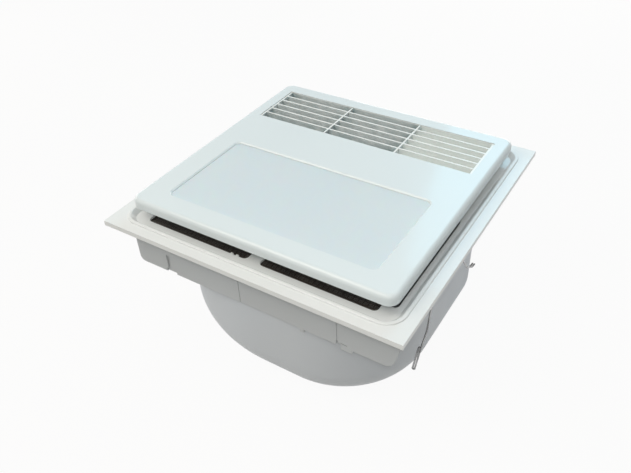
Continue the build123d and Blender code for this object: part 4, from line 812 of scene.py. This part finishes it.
def core_finish(name, node, winding_colour=None):
    low, high = (corner.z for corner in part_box(node))
    middle = (low + high) / 2
    half_stack = (high - low) / 2 * PLATE_STACK_SHARE
    material, tree, shader = start_finish(name, metallic=1.0)
    tone = effect(tree, tone_drift, colour=rgb(0.34, 0.34, 0.35), other_colour=rgb(0.24, 0.23, 0.22),
                  patches_per_metre=40.0, patch_share=0.6, speck_share=0.3)
    shown, height = tone.outputs["Colour"], stack_lines(tree)
    if winding_colour is not None:
        core = height_mask(tree, middle - half_stack, middle + half_stack)
        copper = effect(tree, tone_drift, colour=winding_colour, other_colour=rgb(0.38, 0.13, 0.05),
                        patches_per_metre=150.0, patch_share=0.5, speck_share=0.4)
        shown = blend_colour(tree, core, copper.outputs["Colour"], shown)
    wires = effect(tree, drawn_lines, lines_per_metre=(900.0, 900.0, 2500.0), roughness=0.38)
    crease = effect(tree, crease_dust_and_shade, [(shown, "Colour")], reach=0.004, amount=0.35)
    tree.links.new(crease.outputs["Colour"], shader.inputs["Base Color"])
    tree.links.new(wires.outputs["Roughness"], shader.inputs["Roughness"])
    lay_bump(tree, shader, height, 0.00003)
    return material


def can_finish():
    material, tree, shader = start_finish("motor_enamel")
    tone = effect(tree, tone_drift, colour=rgb(0.032, 0.033, 0.036), other_colour=rgb(0.055, 0.055, 0.058),
                  patches_per_metre=30.0, patch_share=0.5, speck_share=0.2)
    edges = effect(tree, soft_edges, radius=0.0005)
    chips = add(tree, "TexNoise", [(local_place(tree), "Vector")], scale=420.0, detail=3.0)
    chipped = product(tree, edges.outputs["Edge"], soft_range(tree, chips.outputs[0], 0.50, 0.58))
    steel = add(tree, "RGB")
    steel.outputs[0].default_value = rgb(0.50, 0.50, 0.50)
    shown = blend_colour(tree, chipped, tone.outputs["Colour"], steel.outputs[0])
    crease = effect(tree, crease_dust_and_shade, [(shown, "Colour")], amount=0.5)
    surface = effect(tree, moulded_grain, grains_per_metre=1100.0, grain_share=0.7, roughness=0.42)
    tree.links.new(crease.outputs["Colour"], shader.inputs["Base Color"])
    tree.links.new(chipped, shader.inputs["Metallic"])
    tree.links.new(surface.outputs["Roughness"], shader.inputs["Roughness"])
    lay_bump(tree, shader, surface.outputs["Height"], 0.00004, edges.outputs["Normal"])
    return material


dress(core_finish("stator_core", "motor_stator", rgb(0.58, 0.25, 0.10)), "motor_stator")
dress(core_finish("rotor_core", "motor_rotor"), "motor_rotor")
dress(can_finish(), "motor_housing")

# %% [markdown]
# ### The heating bars
# Each bar is a dark ceramic core between two rows of thin aluminium fins. The fins are real geometry, so the
# finish only needs the lines across them. Their dark grey-green is a painted shade, for the shade that lies behind
# the grille's slats, and only the fins' edges show a little lighter.

# %% Finish the heating bars
# Painted shade: the fins' dark grey-green stands in for the shade behind the grille.
heater_fins_painted_shade = metal_finish("heater_fins_painted_shade", rgb(0.17, 0.26, 0.27), rgb(0.16, 0.21, 0.20), 0.42,
                           lines=(400.0, 4000.0, 4000.0), patches=(18.0, 0.5), dust=0.5,
                           edge_colour=rgb(0.30, 0.42, 0.43))
dress(heater_fins_painted_shade, "heater_bars")

# %% [markdown]
# ### The two circuit boards
# The control board is green laminate with copper tracks under the lacquer; its relays are black cases. The lamp
# board is white with rows of small yellow lamps. Board and parts are one solid each, so the height of a point tells
# them apart. The tracks come from Voronoi cells measured along right angles, which look like routed lines.

# %% Finish the boards
RELAY_COLOUR = rgb(0.025, 0.025, 0.028)
LAMP_COLOUR = rgb(0.80, 0.62, 0.12)
BOARD_TOP_RISE = 0.0057
LAMP_PROUD = 0.0005


def board_finish(name, laminate, tracks, cells_per_metre, other_colour, split_z, other_above):
    material, tree, shader = start_finish(name)
    place = local_place(tree)
    cells = add(tree, "TexVoronoi", [(place, "Vector")], distance="MANHATTAN", feature="F1", scale=cells_per_metre)
    second = add(tree, "TexVoronoi", [(place, "Vector")], distance="MANHATTAN", feature="F2", scale=cells_per_metre)
    between = add(tree, "Math", [(second.outputs["Distance"], 0), (cells.outputs["Distance"], 1)],
                  operation="SUBTRACT").outputs[0]
    track = soft_range(tree, between, 0.05, 0.12, 1.0, 0.0)
    tone = effect(tree, tone_drift, colour=laminate, other_colour=tracks, patches_per_metre=25.0,
                  patch_share=0.15, speck_share=0.1)
    line = add(tree, "RGB")
    line.outputs[0].default_value = tracks
    board = blend_colour(tree, track, tone.outputs["Colour"], line.outputs[0])
    part = add(tree, "RGB")
    part.outputs[0].default_value = other_colour
    z = add(tree, "SeparateXYZ", [(place, 0)]).outputs["Z"]
    ends = (0.0, 1.0) if other_above else (1.0, 0.0)
    on_part = soft_range(tree, z, split_z - 0.0001, split_z + 0.0001, *ends)
    shown = blend_colour(tree, on_part, board, part.outputs[0])
    crease = effect(tree, crease_dust_and_shade, [(shown, "Colour")], amount=0.4)
    surface = effect(tree, moulded_grain, grains_per_metre=1500.0, grain_share=0.5, roughness=0.38)
    tree.links.new(crease.outputs["Colour"], shader.inputs["Base Color"])
    tree.links.new(surface.outputs["Roughness"], shader.inputs["Roughness"])
    lay_bump(tree, shader, surface.outputs["Height"], 0.00002)
    return material


control_low, control_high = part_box("control_board")
lamp_low, lamp_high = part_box("led_board")
dress(board_finish("green_board", rgb(0.02, 0.16, 0.07), rgb(0.05, 0.28, 0.12), 180.0, RELAY_COLOUR,
                   control_low.z + BOARD_TOP_RISE, True), "control_board")
dress(board_finish("lamp_board", rgb(0.82, 0.82, 0.80), rgb(0.74, 0.74, 0.70), 90.0, LAMP_COLOUR,
                   lamp_high.z - LAMP_PROUD, True), "led_board")
print("boards span", round(control_high.x - control_low.x, 3), "and", round(lamp_high.x - lamp_low.x, 3), "m")

# %% [markdown]
# ## Finish check
# Every piece of the model has to wear one of the finishes above.

# %% Check the pieces
def has_finish(piece):
    """True where every material of the piece places at least one of the effects."""
    trees = [slot.material.node_tree for slot in piece.material_slots]
    return all(any(n.type == "GROUP" for n in tree.nodes) for tree in trees)


plain = [name for name, piece in nodes.items() if not has_finish(piece)]
print("pieces without a finish:", plain)
